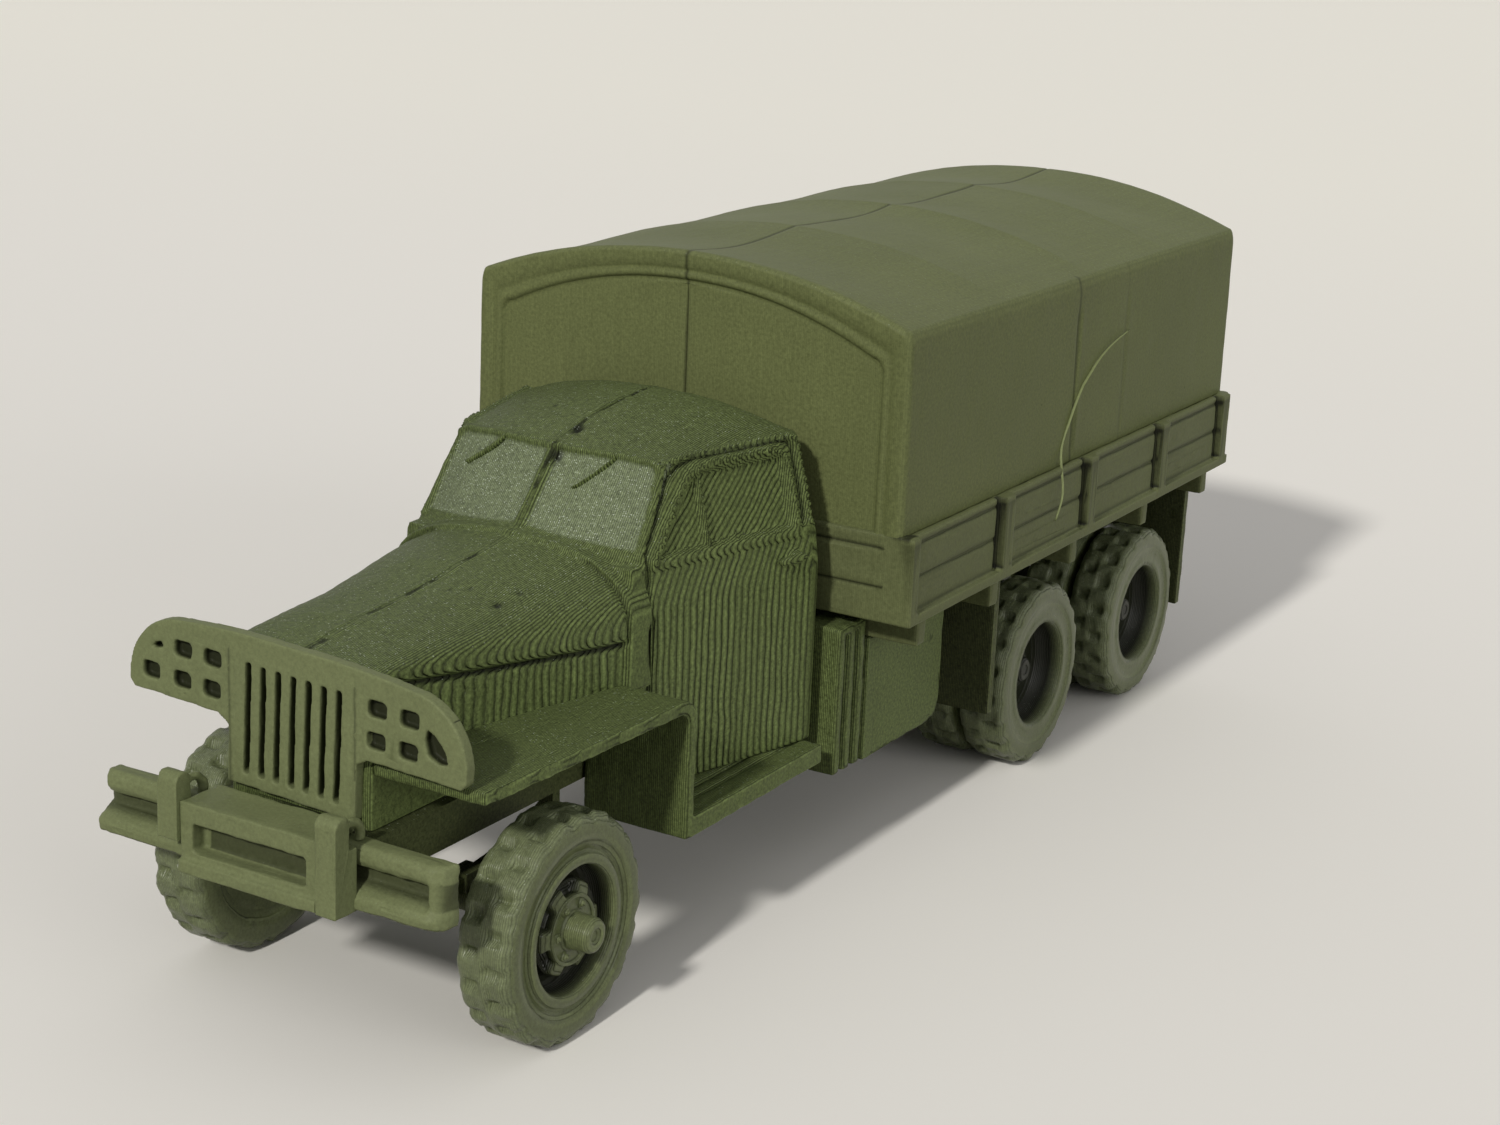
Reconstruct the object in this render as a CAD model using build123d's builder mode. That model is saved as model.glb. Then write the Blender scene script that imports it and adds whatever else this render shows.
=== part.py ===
"""Printed scale model of a six-wheel military cargo truck with a covered bed.

Millimetres. +X is the truck's left side, +Y runs to its rear, +Z is up.
The origin is on the ground under the middle of the model.
Stations are distances behind the front axle, and y_of() turns one into a Y.
The body is two printed halves glued along the middle, as the seam on the hood,
the roof and the cover shows, so each half is a piece of its own.
"""
from math import atan2, cos, pi, sin
import os

from build123d import *

os.makedirs("parts", exist_ok=True)

# wheels and axles
tyre_radius = 7.75
tyre_width = 4.1
lug_height = 0.5
lugs_per_row = 20
lug_share = 0.56
lug_length = 1.72
tyre_shoulder = 0.5
rim_radius = 5.4
dish_radius = 4.35
front_face_x = 14.6
rear_face_x = 16.75
twin_gap = 0.5
front_dish_depth = 1.0
rear_dish_depth = 2.7
hub_cap_radius = 1.05
front_hub_reach = 1.5
rear_hub_depth = 1.4
stub_radius = 0.9
stub_clearance = 0.06
stub_length = 2.2
wheel_side_gap = 0.25
wheelbase = 65.4
bogie_spacing = 21.4
axle_tube_radius = 0.85
pumpkin_radius = 2.3
pumpkin_width = 3.4
front_bulge_x = -1.5
shaft_radius = 0.5

# chassis
rail_inner_x = 5.2
rail_width = 1.2
rail_bottom_z = 12.4
rail_height = 3.0
rail_web = 0.45
cross_member_length = 1.4
spring_hanger_station = -6.0
cab_member_station = 31.5
bed_member_station = 52.0
spring_width = 1.1
spring_leaf = 0.32
spring_leaves = 3
spring_reach = 9.6
spring_wrap = 1.2
shackle_length = 0.8
shackle_height = 1.1
spring_clip_length = 2.0
trunnion_radius = 0.8
hanger_half_length = 2.2
engine_station = 2.5
engine_size = (4.6, 12.0, 3.2)
gearbox_station = 15.5
gearbox_size = (3.4, 14.0, 3.0)
transfer_station = 40.0
transfer_size = (6.0, 5.0, 4.4)
transfer_shift = 1.0
main_shaft_length = 20.0
main_shaft_radius = 0.6
shaft_end_z = 11.2
seat_flange_front = 1.7
seat_flange_rear = 1.9
seat_flange_thickness = 0.8
knuckle_radius = 0.7
knuckle_height = 3.6

# front end
bumper_half_width = 13.35
bumper_front_station = -12.7
bumper_depth = 1.8
bumper_bottom_z = 11.8
bumper_height = 4.1
bumper_flange = 0.75
bumper_groove_low = 1.6
bumper_groove_high = 2.5
bumper_groove_depth = 1.15
bumper_nose = 0.45
bumper_corner = 1.3
winch_half_width = 5.5
winch_front_station = -14.5
winch_plate = 0.55
winch_slot_half_width = 4.5
winch_slot_height = 1.9
winch_slot_depth = 1.2
winch_slot_drop = -0.3
winch_lip = 0.3
winch_lip_height = 0.85
lug_plate_width = 1.6
lug_plate_top_z = 18.2
lug_plate_front_station = -14.8
loop_radius = 1.0
loop_wire = 0.32
lug_plate_length = 1.4

# guard in front of the radiator
guard_front_station = -10.4
guard_thickness = 0.9
guard_half_width = 13.4
guard_top_z = 26.4
guard_wing_bottom_z = 20.7
guard_panel_half_width = 5.1
guard_panel_bottom_z = 16.4
guard_neck_half_width = 6.0
guard_tilt = 2.3
slot_count = 7
slot_pitch = 1.2
slot_width = 0.48
slot_bottom_z = 17.2
slot_top_z = 24.6
hole_columns = (6.55, 9.0)
hole_rows = (22.1, 24.15)
hole_width = 1.45
hole_height = 1.1
outline_groove = 0.16
outline_groove_depth = 0.2
outline_grooves_x = (4.75, 5.45)
moon_outline = (
    (10.35, 23.9), (11.0, 23.65), (11.75, 22.8), (12.0, 22.0),
    (11.3, 21.9), (10.5, 22.2), (10.2, 23.2),
)
outer_hole_x = 11.6
outer_hole_z = 22.15
wedge_outline = ((11.7, 23.6), (11.3, 24.1), (10.8, 24.25), (10.6, 23.9))

# hood, cowl and cab
hood_front_station = -9.5
hood_mid_station = 1.6
hood_rear_station = 11.9
hood_bottom_z = 20.0
hood_step = 0.35
cowl_rear_station = 15.0
bay_half_width = 5.6
cab_rear_station = 32.2
cab_floor_z = rail_bottom_z + rail_height
door_bottom_z = 11.45
cowl_half_width = 10.0
cab_rear_half_width = 13.7
belt_z = 27.6
roof_rail_z = 34.0
windshield_base_z = 28.6
windshield_base_station = 14.4
windshield_base_half_width = 9.2
windshield_top_station = 17.8
windshield_top_half_width = 8.1
roof_front_half_width = 9.0
roof_front_station = 19.4
roof_rear_half_width = 11.6
roof_rear_station = 31.2
roof_crown_z = 36.1
groove = 0.3
groove_depth = 0.3
knee_z = 24.5
belt_lean = 0.4
door_rear_station = 30.2
glass_depth = 0.3
handle_length = 2.2
handle_size = 0.55
handle_inset = 1.9
handle_z = 25.8
handle_reach = 0.45

# fenders and running boards
fender_top_z = hood_bottom_z
fender_thickness = 0.85
fender_front_half_width = 14.2
fender_rear_half_width = 15.05
fender_band_station = 12.1
fender_corner = 1.4
board_rear_station = 30.5
board_thickness = 1.5
board_groove = 0.3
board_grooves = 3
board_groove_pitch = 1.15
board_lip = 0.75
fender_groove = 0.22
fender_grooves = (((8.5, -3.5), (12.2, 10.6)), ((12.8, -7.5), (14.1, 9.8)))

# boxes behind the running boards
box_half_width = 15.0
battery_front_station = 32.6
battery_length = 4.0
battery_top_z = 19.6
box_bottom_z = 8.2
tank_front_station = 37.0
tank_length = 12.6
tank_drop = 0.1
tank_corner = 1.6
rib_count = 3
rib_width = 0.95
rib_height = 0.55
rib_cap = 0.6

# cargo bed
bed_half_width = 20.0
bed_front_station = 33.65
bed_length = 63.2
bed_bottom_z = 20.4
bed_top_z = 27.1
bed_floor = 1.2
board_wall = 1.1
stake_width = 1.7
stake_relief = 0.4
stake_shares = (0.255, 0.507, 0.75, 0.977)
stake_gap = 0.7
stake_gap_depth = 0.35
bed_lip_height = 0.85
plank_grooves_z = (23.9, 26.45)
front_grooves_z = (23.1, 26.05)
side_groove = 0.45
corner_post = 1.2
sill_width = 1.2
sill_height = 2.6
bearer_width = 1.4
bearer_shares = (0.064, 0.259, 0.496, 0.733, 0.955)
bearer_inset = 1.0
sill_inset = 2.0

# cloth cover, as printed
cover_fit = 0.05
cover_lean = 0.1
cover_shoulder_z = 41.6
cover_crown_z = 45.5
cover_shoulder_radius = 1.6
cover_wall = 1.2
hoop_count = 5
hoop_sag = 0.45
cover_recess = 0.5
cover_rim = 2.1

# mud flaps and tail
flap_thickness = 0.9
flap_half_width = 17.0
flap_inner_x = 9.0
flap_clearance = 2.6
flap_rear_inset = 1.45
flap_bottoms_z = (7.2, 6.6)
tail_lamp_x = 17.4
tail_lamp_width = 2.2
tail_bracket_length = 2.6
tail_bracket_thickness = 0.9
tail_bracket_root = 0.8
hitch_width = 2.6
hitch_length = 1.6
hitch_bore = 0.6
hitch_height = 1.2
rail_rear_inset = 1.85

# placing
front_reach = -lug_plate_front_station
bed_rear_station = bed_front_station + bed_length
rail_rear_station = bed_rear_station - rail_rear_inset
rear_reach = bed_rear_station + tail_bracket_length
overall_length = front_reach + rear_reach
front_axle_y = front_reach - overall_length / 2
axle_z = tyre_radius
rail_top_z = rail_bottom_z + rail_height
rail_outer_x = rail_inner_x + rail_width
rail_mid_x = rail_inner_x + rail_width / 2
bearer_bottom_z = rail_top_z + sill_height
tank_top_z = bearer_bottom_z - tank_drop
cover_base_half_width = bed_half_width - board_wall - cover_fit
cover_half_width = cover_base_half_width - cover_lean
bogie_station = wheelbase + bogie_spacing / 2
flap_stations = (
    wheelbase - tyre_radius - flap_clearance,
    bed_rear_station - flap_rear_inset,
)
cross_member_stations = (
    spring_hanger_station, cab_member_station, bed_member_station, bogie_station,
)


def bed_station(share):
    """Station at a share of the bed's length."""
    return bed_front_station + share * bed_length


def y_of(station):
    """Y of a station behind the front axle."""
    return front_axle_y + station


rear_1_y = y_of(wheelbase)
rear_2_y = y_of(wheelbase + bogie_spacing)
bogie_y = (rear_1_y + rear_2_y) / 2
written = []


def keep(piece, label):
    """Label a finished piece and write it."""
    piece.part.label = label
    export_step(piece.part, f"parts/{label}.step")
    written.append(piece.part)


tread_radius = tyre_radius - lug_height


def wheel_plane(inner_x, side, y):
    """Section plane of a wheel: local x runs outwards, local y away from the axle."""
    return Plane(origin=(side * inner_x, y, axle_z), x_dir=(side, 0, 0), z_dir=(0, -side, 0))


def lug_ring(plane, start, turn):
    """Section of one row of tread lugs: a toothed ring round the tyre."""
    pitch = 360 / lugs_per_row
    gap = 2 * pi * tyre_radius / lugs_per_row * (1 - lug_share)
    ring = Plane(
        origin=plane.from_local_coords((start, 0, 0)), x_dir=(0, 0, -1), z_dir=plane.x_dir
    )
    with BuildSketch(ring) as teeth:
        Circle(tyre_radius)
        with PolarLocations(tyre_radius, lugs_per_row, start_angle=turn + pitch / 2):
            Rectangle(2 * lug_height, gap, mode=Mode.SUBTRACT)
        Circle(tyre_radius - 2 * lug_height, mode=Mode.SUBTRACT)
    return teeth.sketch


def make_wheel(label, side, y, face_x, tyres, front):
    """One wheel, single or twin, on its own stub axle."""
    width = tyres * tyre_width + (tyres - 1) * twin_gap
    inner_x = face_x - width
    plane = wheel_plane(inner_x, side, y)
    axis = Axis((0, y, axle_z), (1, 0, 0))
    dish = front_dish_depth if front else rear_dish_depth
    hub_end = width + front_hub_reach if front else width - rear_hub_depth
    disc = width - dish
    with BuildPart() as wheel:
        with BuildSketch(plane):
            for tyre in range(tyres):
                start = tyre * (tyre_width + twin_gap)
                end = start + tyre_width
                with BuildLine():
                    Polyline(
                        (start, rim_radius - 0.4),
                        (start, tread_radius - 0.9),
                        (start + tyre_shoulder, tread_radius),
                        (end - tyre_shoulder, tread_radius),
                        (end, tread_radius - 0.9),
                        (end, rim_radius - 0.4),
                        close=True,
                    )
                make_face()
            with BuildLine():
                Polyline(
                    (0.3, 0),
                    (0.3, rim_radius),
                    (width - 0.25, rim_radius),
                    (width - 0.25, rim_radius - 0.35),
                    (width - 0.55, dish_radius + 0.25),
                    (disc, dish_radius),
                    (disc, 2.6 if front else 1.9),
                    (disc + 0.5, 2.3 if front else 1.7),
                    (disc + 0.5, hub_cap_radius + 0.35),
                    (hub_end - 0.35, hub_cap_radius),
                    (hub_end, hub_cap_radius - 0.3),
                    (hub_end, 0),
                    close=True,
                )
            make_face()
        revolve(axis=axis)
        for tyre in range(tyres):
            start = tyre * (tyre_width + twin_gap)
            outer_start = start + tyre_width / 2
            extrude(lug_ring(plane, outer_start - lug_length, 0), amount=lug_length)
            extrude(lug_ring(plane, outer_start, 180 / lugs_per_row), amount=lug_length)
        bore = Plane(origin=plane.origin, x_dir=(0, 1, 0), z_dir=(side, 0, 0))
        with BuildSketch(bore):
            Circle(stub_radius + stub_clearance)
        extrude(amount=stub_length + 0.3, mode=Mode.SUBTRACT)
    keep(wheel, label)


wheel_table = (
    # label, side, axle y, outer face x, tyres side by side, front wheel
    ("wheel_front_left", 1, front_axle_y, front_face_x, 1, True),
    ("wheel_front_right", -1, front_axle_y, front_face_x, 1, True),
    ("wheel_rear_1_left", 1, rear_1_y, rear_face_x, 2, False),
    ("wheel_rear_1_right", -1, rear_1_y, rear_face_x, 2, False),
    ("wheel_rear_2_left", 1, rear_2_y, rear_face_x, 2, False),
    ("wheel_rear_2_right", -1, rear_2_y, rear_face_x, 2, False),
)
for label, side, y, face_x, tyres, front in wheel_table:
    make_wheel(label, side, y, face_x, tyres, front)

front_inner_x = front_face_x - tyre_width
rear_inner_x = rear_face_x - 2 * tyre_width - twin_gap


def make_axle(label, y, inner_x, front):
    """A dead axle with its differential bulge and a stub for each wheel."""
    seat_x = inner_x - wheel_side_gap
    bulge_x = front_bulge_x if front else 0.0
    with BuildPart() as axle:
        with BuildSketch(Plane.YZ.offset(-seat_x) * Location((y, axle_z))):
            Circle(axle_tube_radius)
        extrude(amount=2 * seat_x)
        with BuildSketch(Plane(origin=(bulge_x, y, axle_z), x_dir=(1, 0, 0), z_dir=(0, -1, 0))):
            with BuildLine():
                Polyline(
                    (-pumpkin_width, 0),
                    (-pumpkin_width, axle_tube_radius + 0.1),
                    (-pumpkin_width / 3, pumpkin_radius),
                    (pumpkin_width / 3, pumpkin_radius),
                    (pumpkin_width, axle_tube_radius + 0.1),
                    (pumpkin_width, 0),
                    close=True,
                )
            make_face()
        revolve(axis=Axis((0, y, axle_z), (1, 0, 0)))
        for side in (-1, 1):
            seat = Plane(origin=(side * seat_x, y, axle_z), x_dir=(0, 1, 0), z_dir=(side, 0, 0))
            with BuildSketch(seat):
                Circle(stub_radius)
            extrude(amount=wheel_side_gap + stub_length)
            with BuildSketch(seat):
                Circle(seat_flange_front if front else seat_flange_rear)
            extrude(amount=-seat_flange_thickness)
            if front:
                with Locations((side * (seat_x - 1.3), y, axle_z)):
                    Cylinder(knuckle_radius, knuckle_height)
    keep(axle, label)


make_axle("front_axle", front_axle_y, front_inner_x, True)
make_axle("rear_axle_1", rear_1_y, rear_inner_x, False)
make_axle("rear_axle_2", rear_2_y, rear_inner_x, False)

# chassis frame: two channel rails and their cross members
rail_front_y = y_of(bumper_front_station) + bumper_depth
rail_rear_y = y_of(rail_rear_station)
with BuildPart() as chassis_frame:
    for side in (-1, 1):
        section = Plane(
            origin=(side * rail_mid_x, rail_front_y, rail_bottom_z + rail_height / 2),
            x_dir=(side, 0, 0),
            z_dir=(0, 1, 0),
        )
        with BuildSketch(section):
            Rectangle(rail_width, rail_height)
            with Locations((-rail_web, 0)):
                Rectangle(rail_width, rail_height - 2 * rail_web, mode=Mode.SUBTRACT)
        extrude(amount=rail_rear_y - rail_front_y)
    for station in cross_member_stations:
        with Locations((0, y_of(station), rail_bottom_z + rail_height / 2)):
            Box(2 * rail_mid_x + 0.4, cross_member_length, rail_height - 2 * rail_web)
    with Locations((0, rail_rear_y - cross_member_length / 2, rail_bottom_z + rail_height / 2)):
        Box(2 * rail_inner_x + 0.4, cross_member_length, rail_height)
keep(chassis_frame, "chassis_frame")


def spring_pack(x, ends, end_z, middle_z, thickness):
    """Side view of a leaf pack, curved from end to end."""
    front, rear = ends
    middle = (front + rear) / 2
    with BuildSketch(Plane.YZ.offset(x - spring_width / 2)) as pack:
        with BuildLine():
            top = ThreePointArc((front, end_z), (middle, middle_z), (rear, end_z))
            low = ThreePointArc(
                (front, end_z - thickness), (middle, middle_z - thickness),
                (rear, end_z - thickness),
            )
            Line(top @ 0, low @ 0)
            Line(top @ 1, low @ 1)
        make_face()
    return pack.sketch


# front springs: rail ends down to the axle seat
spring_seat_z = axle_z + axle_tube_radius
pack_height = spring_leaf * spring_leaves
spring_front_y = y_of(-spring_reach)
spring_rear_y = y_of(spring_reach)
with BuildPart() as front_springs:
    for side in (-1, 1):
        centre_x = side * rail_mid_x
        pack = spring_pack(centre_x, (spring_front_y, spring_rear_y), rail_bottom_z - 0.4,
                           spring_seat_z + pack_height, pack_height)
        extrude(pack, amount=spring_width)
        for end_y in (spring_front_y + shackle_length / 2, spring_rear_y - shackle_length / 2):
            with Locations((centre_x, end_y, rail_bottom_z - shackle_height / 2)):
                Box(rail_width, shackle_length, shackle_height)
        with Locations((centre_x, front_axle_y, spring_seat_z + pack_height / 2 + 0.15)):
            Box(spring_width + 0.5, spring_clip_length, pack_height + 0.3)
keep(front_springs, "front_springs")

# rear bogie springs: one pack a side, hung at its middle
bogie_half = bogie_spacing / 2
trunnion_z = axle_z + shaft_radius + trunnion_radius + 0.8
with BuildPart() as bogie_springs:
    for side in (-1, 1):
        centre_x = side * (rail_mid_x + 0.4)
        ends = (bogie_y - bogie_half - spring_wrap, bogie_y + bogie_half + spring_wrap)
        pack = spring_pack(centre_x, ends, spring_seat_z + pack_height + 0.1, rail_bottom_z,
                           pack_height + 0.5)
        extrude(pack, amount=spring_width)
        with BuildSketch(Plane.YZ.offset(centre_x - spring_width / 2)):
            with BuildLine():
                Polyline(
                    (bogie_y - hanger_half_length, rail_bottom_z),
                    (bogie_y + hanger_half_length, rail_bottom_z),
                    (bogie_y + 0.9, trunnion_z - 0.9),
                    (bogie_y - 0.9, trunnion_z - 0.9),
                    close=True,
                )
            make_face()
        extrude(amount=spring_width)
    with BuildSketch(Plane.YZ.offset(-rail_outer_x) * Location((bogie_y, trunnion_z))):
        Circle(trunnion_radius)
    extrude(amount=2 * rail_outer_x)
keep(bogie_springs, "bogie_springs")

# drive line: oil pan, gearbox, transfer case and shafts down the middle
with BuildPart() as drive_line:
    with Locations((0, y_of(engine_station), cab_floor_z - engine_size[2] / 2)):
        Box(*engine_size)
    with Locations((0, y_of(gearbox_station), cab_floor_z - gearbox_size[2] / 2)):
        Box(*gearbox_size)
    with Locations((transfer_shift, y_of(transfer_station), rail_bottom_z + 0.2)):
        Box(*transfer_size)
    shaft_mid = (gearbox_station + gearbox_size[1] / 2 + transfer_station - transfer_size[1] / 2) / 2
    with Locations((0, y_of(shaft_mid), rail_bottom_z - 0.3)):
        with Locations(Rotation(90, 0, 0)):
            Cylinder(main_shaft_radius, main_shaft_length)
keep(drive_line, "drive_line")


shaft_table = (
    # start, end
    ((front_bulge_x, front_axle_y + pumpkin_radius + 0.1, axle_z),
     (front_bulge_x, y_of(transfer_station) - transfer_size[1] / 2 - 0.1, shaft_end_z)),
    ((0.0, y_of(transfer_station) + transfer_size[1] / 2 + 0.1, shaft_end_z),
     (0.0, rear_1_y - pumpkin_radius - 0.1, axle_z)),
    ((0.0, rear_1_y + pumpkin_radius + 0.1, axle_z),
     (0.0, rear_2_y - pumpkin_radius - 0.1, axle_z)),
)
with BuildPart() as propeller_shafts:
    for start, end in shaft_table:
        line = Edge.make_line(start, end)
        with BuildSketch(Plane(origin=start, z_dir=line % 0)):
            Circle(shaft_radius)
        extrude(amount=line.length)
keep(propeller_shafts, "propeller_shafts")

# bumper: a rolled section with a rounded end on the left and an open one on the right
bumper_y = y_of(bumper_front_station)
bumper_top_z = bumper_bottom_z + bumper_height
bumper_mid_z = (bumper_bottom_z + bumper_top_z) / 2
lug_outer_x = winch_half_width + lug_plate_width
with BuildPart() as front_bumper:
    with BuildSketch(Plane.XY.offset(bumper_bottom_z)):
        with Locations((0, bumper_y + bumper_depth / 2)):
            Rectangle(2 * bumper_half_width, bumper_depth)
        fillet(vertices().group_by(Axis.Y)[0].sort_by(Axis.X)[-1:], bumper_corner)
    extrude(amount=bumper_height)
    with BuildSketch(Plane.YZ.offset(-bumper_half_width)):
        with BuildLine():
            Polyline(
                (bumper_y - 1, bumper_bottom_z + bumper_groove_low - bumper_nose),
                (bumper_y, bumper_bottom_z + bumper_groove_low - bumper_nose),
                (bumper_y + bumper_groove_depth, bumper_bottom_z + bumper_groove_low),
                (bumper_y + bumper_groove_depth, bumper_bottom_z + bumper_groove_high),
                (bumper_y + bumper_nose, bumper_bottom_z + bumper_groove_high),
                (bumper_y, bumper_bottom_z + bumper_groove_high + bumper_nose),
                (bumper_y - 1, bumper_bottom_z + bumper_groove_high + bumper_nose),
                close=True,
            )
        make_face()
    extrude(amount=bumper_half_width - lug_outer_x, mode=Mode.SUBTRACT)
    groove_length = bumper_half_width - bumper_flange - lug_outer_x
    with Locations((lug_outer_x + groove_length / 2, bumper_y + bumper_groove_depth / 2,
                    bumper_bottom_z + (bumper_groove_low + bumper_groove_high) / 2)):
        Box(groove_length, bumper_groove_depth, bumper_groove_high - bumper_groove_low,
            mode=Mode.SUBTRACT)
keep(front_bumper, "front_bumper")

# winch frame ahead of the bumper, with its long slot
winch_y = y_of(winch_front_station)
winch_top_z = bumper_top_z + winch_plate
winch_bottom_z = bumper_bottom_z
with BuildPart() as winch_frame:
    with Locations((0, (winch_y + bumper_y) / 2, (bumper_bottom_z + winch_top_z) / 2)):
        Box(2 * winch_half_width, bumper_y - winch_y, winch_top_z - bumper_bottom_z)
    with Locations((0, bumper_y + bumper_depth / 2, winch_top_z - winch_plate / 2)):
        Box(2 * winch_half_width, bumper_depth, winch_plate)
    with Locations((0, winch_y + winch_lip / 2, winch_bottom_z + winch_lip_height / 2)):
        Box(2 * winch_half_width, 3 * winch_lip, winch_lip_height)
    with BuildSketch(Plane.XZ.offset(-winch_y) * Location((0, bumper_mid_z - winch_slot_drop))):
        Rectangle(2 * winch_slot_half_width, winch_slot_height)
    extrude(amount=-winch_slot_depth, mode=Mode.SUBTRACT)
keep(winch_frame, "winch_frame")

# two upright tow lugs with a shackle loop behind each
lug_y = y_of(lug_plate_front_station)
lug_mid_x = winch_half_width + lug_plate_width / 2
with BuildPart() as tow_lugs:
    for side in (-1, 1):
        with BuildSketch(Plane.YZ.offset(side * lug_mid_x - lug_plate_width / 2)):
            with BuildLine():
                Polyline(
                    (bumper_y, bumper_bottom_z),
                    (lug_y, bumper_bottom_z),
                    (lug_y, lug_plate_top_z - lug_plate_length / 2),
                )
                ThreePointArc(
                    (lug_y, lug_plate_top_z - lug_plate_length / 2),
                    (lug_y + lug_plate_length / 2, lug_plate_top_z),
                    (lug_y + lug_plate_length, lug_plate_top_z - lug_plate_length / 2),
                )
                Polyline(
                    (lug_y + lug_plate_length, lug_plate_top_z - lug_plate_length / 2),
                    (lug_y + lug_plate_length, bumper_top_z + 0.02),
                    (bumper_y, bumper_top_z + 0.02),
                    (bumper_y, bumper_bottom_z),
                )
            make_face()
        extrude(amount=lug_plate_width)
        loop_plane = Plane(
            origin=(side * lug_mid_x, lug_y + 1.3 + loop_radius,
                    bumper_top_z + loop_wire),
            x_dir=(0, 1, 0),
            z_dir=(1, 0, 0),
        )
        with Locations(loop_plane):
            Torus(loop_radius, loop_wire)
    with BuildSketch(Plane.XY.offset(bumper_bottom_z)):
        with Locations((0, lug_y)):
            Rectangle(4 * bumper_half_width, 4 * bumper_half_width)
    extrude(amount=lug_plate_top_z - bumper_bottom_z + 1, mode=Mode.INTERSECT)
    with BuildSketch(Plane.XY.offset(bumper_bottom_z)):
        with Locations((0, bumper_y + bumper_depth)):
            Rectangle(2 * bumper_half_width, 2 * bumper_depth)
    extrude(amount=bumper_height, mode=Mode.SUBTRACT)
keep(tow_lugs, "tow_lugs")

# guard plate: a slotted centre panel and a pierced wing each side
guard_y = y_of(guard_front_station)
guard_plane = Plane(
    origin=(0, guard_y, guard_wing_bottom_z), x_dir=(1, 0, 0), z_dir=(0, -1, 0)
).rotated((0, guard_tilt, 0))


def guard_hole(width, height, x, z):
    """A rounded square hole, one each side."""
    for side in (-1, 1):
        with Locations((side * x, z - guard_wing_bottom_z)):
            RectangleRounded(width, height, 0.3, mode=Mode.SUBTRACT)


with BuildPart() as radiator_guard:
    with BuildSketch(guard_plane):
        top = guard_top_z - guard_wing_bottom_z
        foot = guard_panel_bottom_z - guard_wing_bottom_z
        with BuildLine():
            Polyline(
                (0, foot), (guard_panel_half_width, foot), (guard_panel_half_width, -0.5),
                (guard_neck_half_width, 0), (guard_half_width - 0.4, 0),
                (guard_half_width, 0.4), (guard_half_width, 1.4),
            )
            ThreePointArc(
                (guard_half_width, 1.4),
                (guard_half_width - 1.15, top - 1.75),
                (guard_half_width - 3.9, top - 0.4),
            )
            ThreePointArc((guard_half_width - 3.9, top - 0.4), (5.0, top - 0.05), (0, top))
            Line((0, top), (0, foot))
        make_face()
        mirror(about=Plane.YZ)
        for row in hole_rows:
            for column in hole_columns:
                guard_hole(hole_width, hole_height, column, row)
        # outer holes: a half moon on the left, a square and a small wedge on the right
        moon = [(x, z - guard_wing_bottom_z) for x, z in moon_outline]
        with BuildLine():
            Polyline(*moon, close=True)
        make_face(mode=Mode.SUBTRACT)
        with Locations((-outer_hole_x, outer_hole_z - guard_wing_bottom_z)):
            RectangleRounded(hole_width, hole_height, 0.3, mode=Mode.SUBTRACT)
        wedge = [(-x, z - guard_wing_bottom_z) for x, z in wedge_outline]
        with BuildLine():
            Polyline(*wedge, close=True)
        make_face(mode=Mode.SUBTRACT)
        slot_height = slot_top_z - slot_bottom_z
        slot_mid = (slot_top_z + slot_bottom_z) / 2 - guard_wing_bottom_z
        with GridLocations(slot_pitch, 1, slot_count, 1):
            with Locations((0, slot_mid)):
                Rectangle(slot_width, slot_height, mode=Mode.SUBTRACT)
    extrude(amount=-guard_thickness)
    with BuildSketch(guard_plane):
        for side in (-1, 1):
            for groove_x in outline_grooves_x:
                with Locations((side * groove_x, (top + foot) / 2)):
                    Rectangle(outline_groove, top - foot - 1.2)
    extrude(amount=-outline_groove_depth, mode=Mode.SUBTRACT)
keep(radiator_guard, "radiator_guard")


# hood, cowl and cab, left half
hood_sections = (
    # station, half width, crease z, crown z, how far the arch bulges
    (hood_front_station, 6.0, 24.9, 25.9, 0.35),
    (hood_mid_station, 7.9, 24.3, 27.2, 0.75),
    (hood_rear_station, 10.0, 23.1, 28.7, 1.5),
)


def hood_section(station, half_width, crease_z, crown_z, bulge):
    """Half section of the hood in a plane across the truck."""
    plane = Plane(origin=(0, y_of(station), 0), x_dir=(1, 0, 0), z_dir=(0, -1, 0))
    mid_x = half_width * 0.62
    mid_z = crease_z + (crown_z - crease_z) * 0.55 + bulge
    with BuildSketch(plane) as section:
        with BuildLine():
            Polyline(
                (0, crown_z),
                (0, hood_bottom_z),
                (half_width - hood_step, hood_bottom_z),
                (half_width - hood_step, crease_z),
                (half_width, crease_z),
                (half_width, crease_z + 0.3),
            )
            ThreePointArc((half_width, crease_z + 0.3), (mid_x, mid_z), (0, crown_z))
        make_face()
    return section.sketch


def level(z, rows):
    """A plan outline at one height, from half widths and stations."""
    with BuildSketch(Plane.XY.offset(z)) as outline:
        with BuildLine():
            Polyline(*[(x, y_of(station)) for x, station in rows], close=True)
        make_face()
    return outline.sketch


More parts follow.
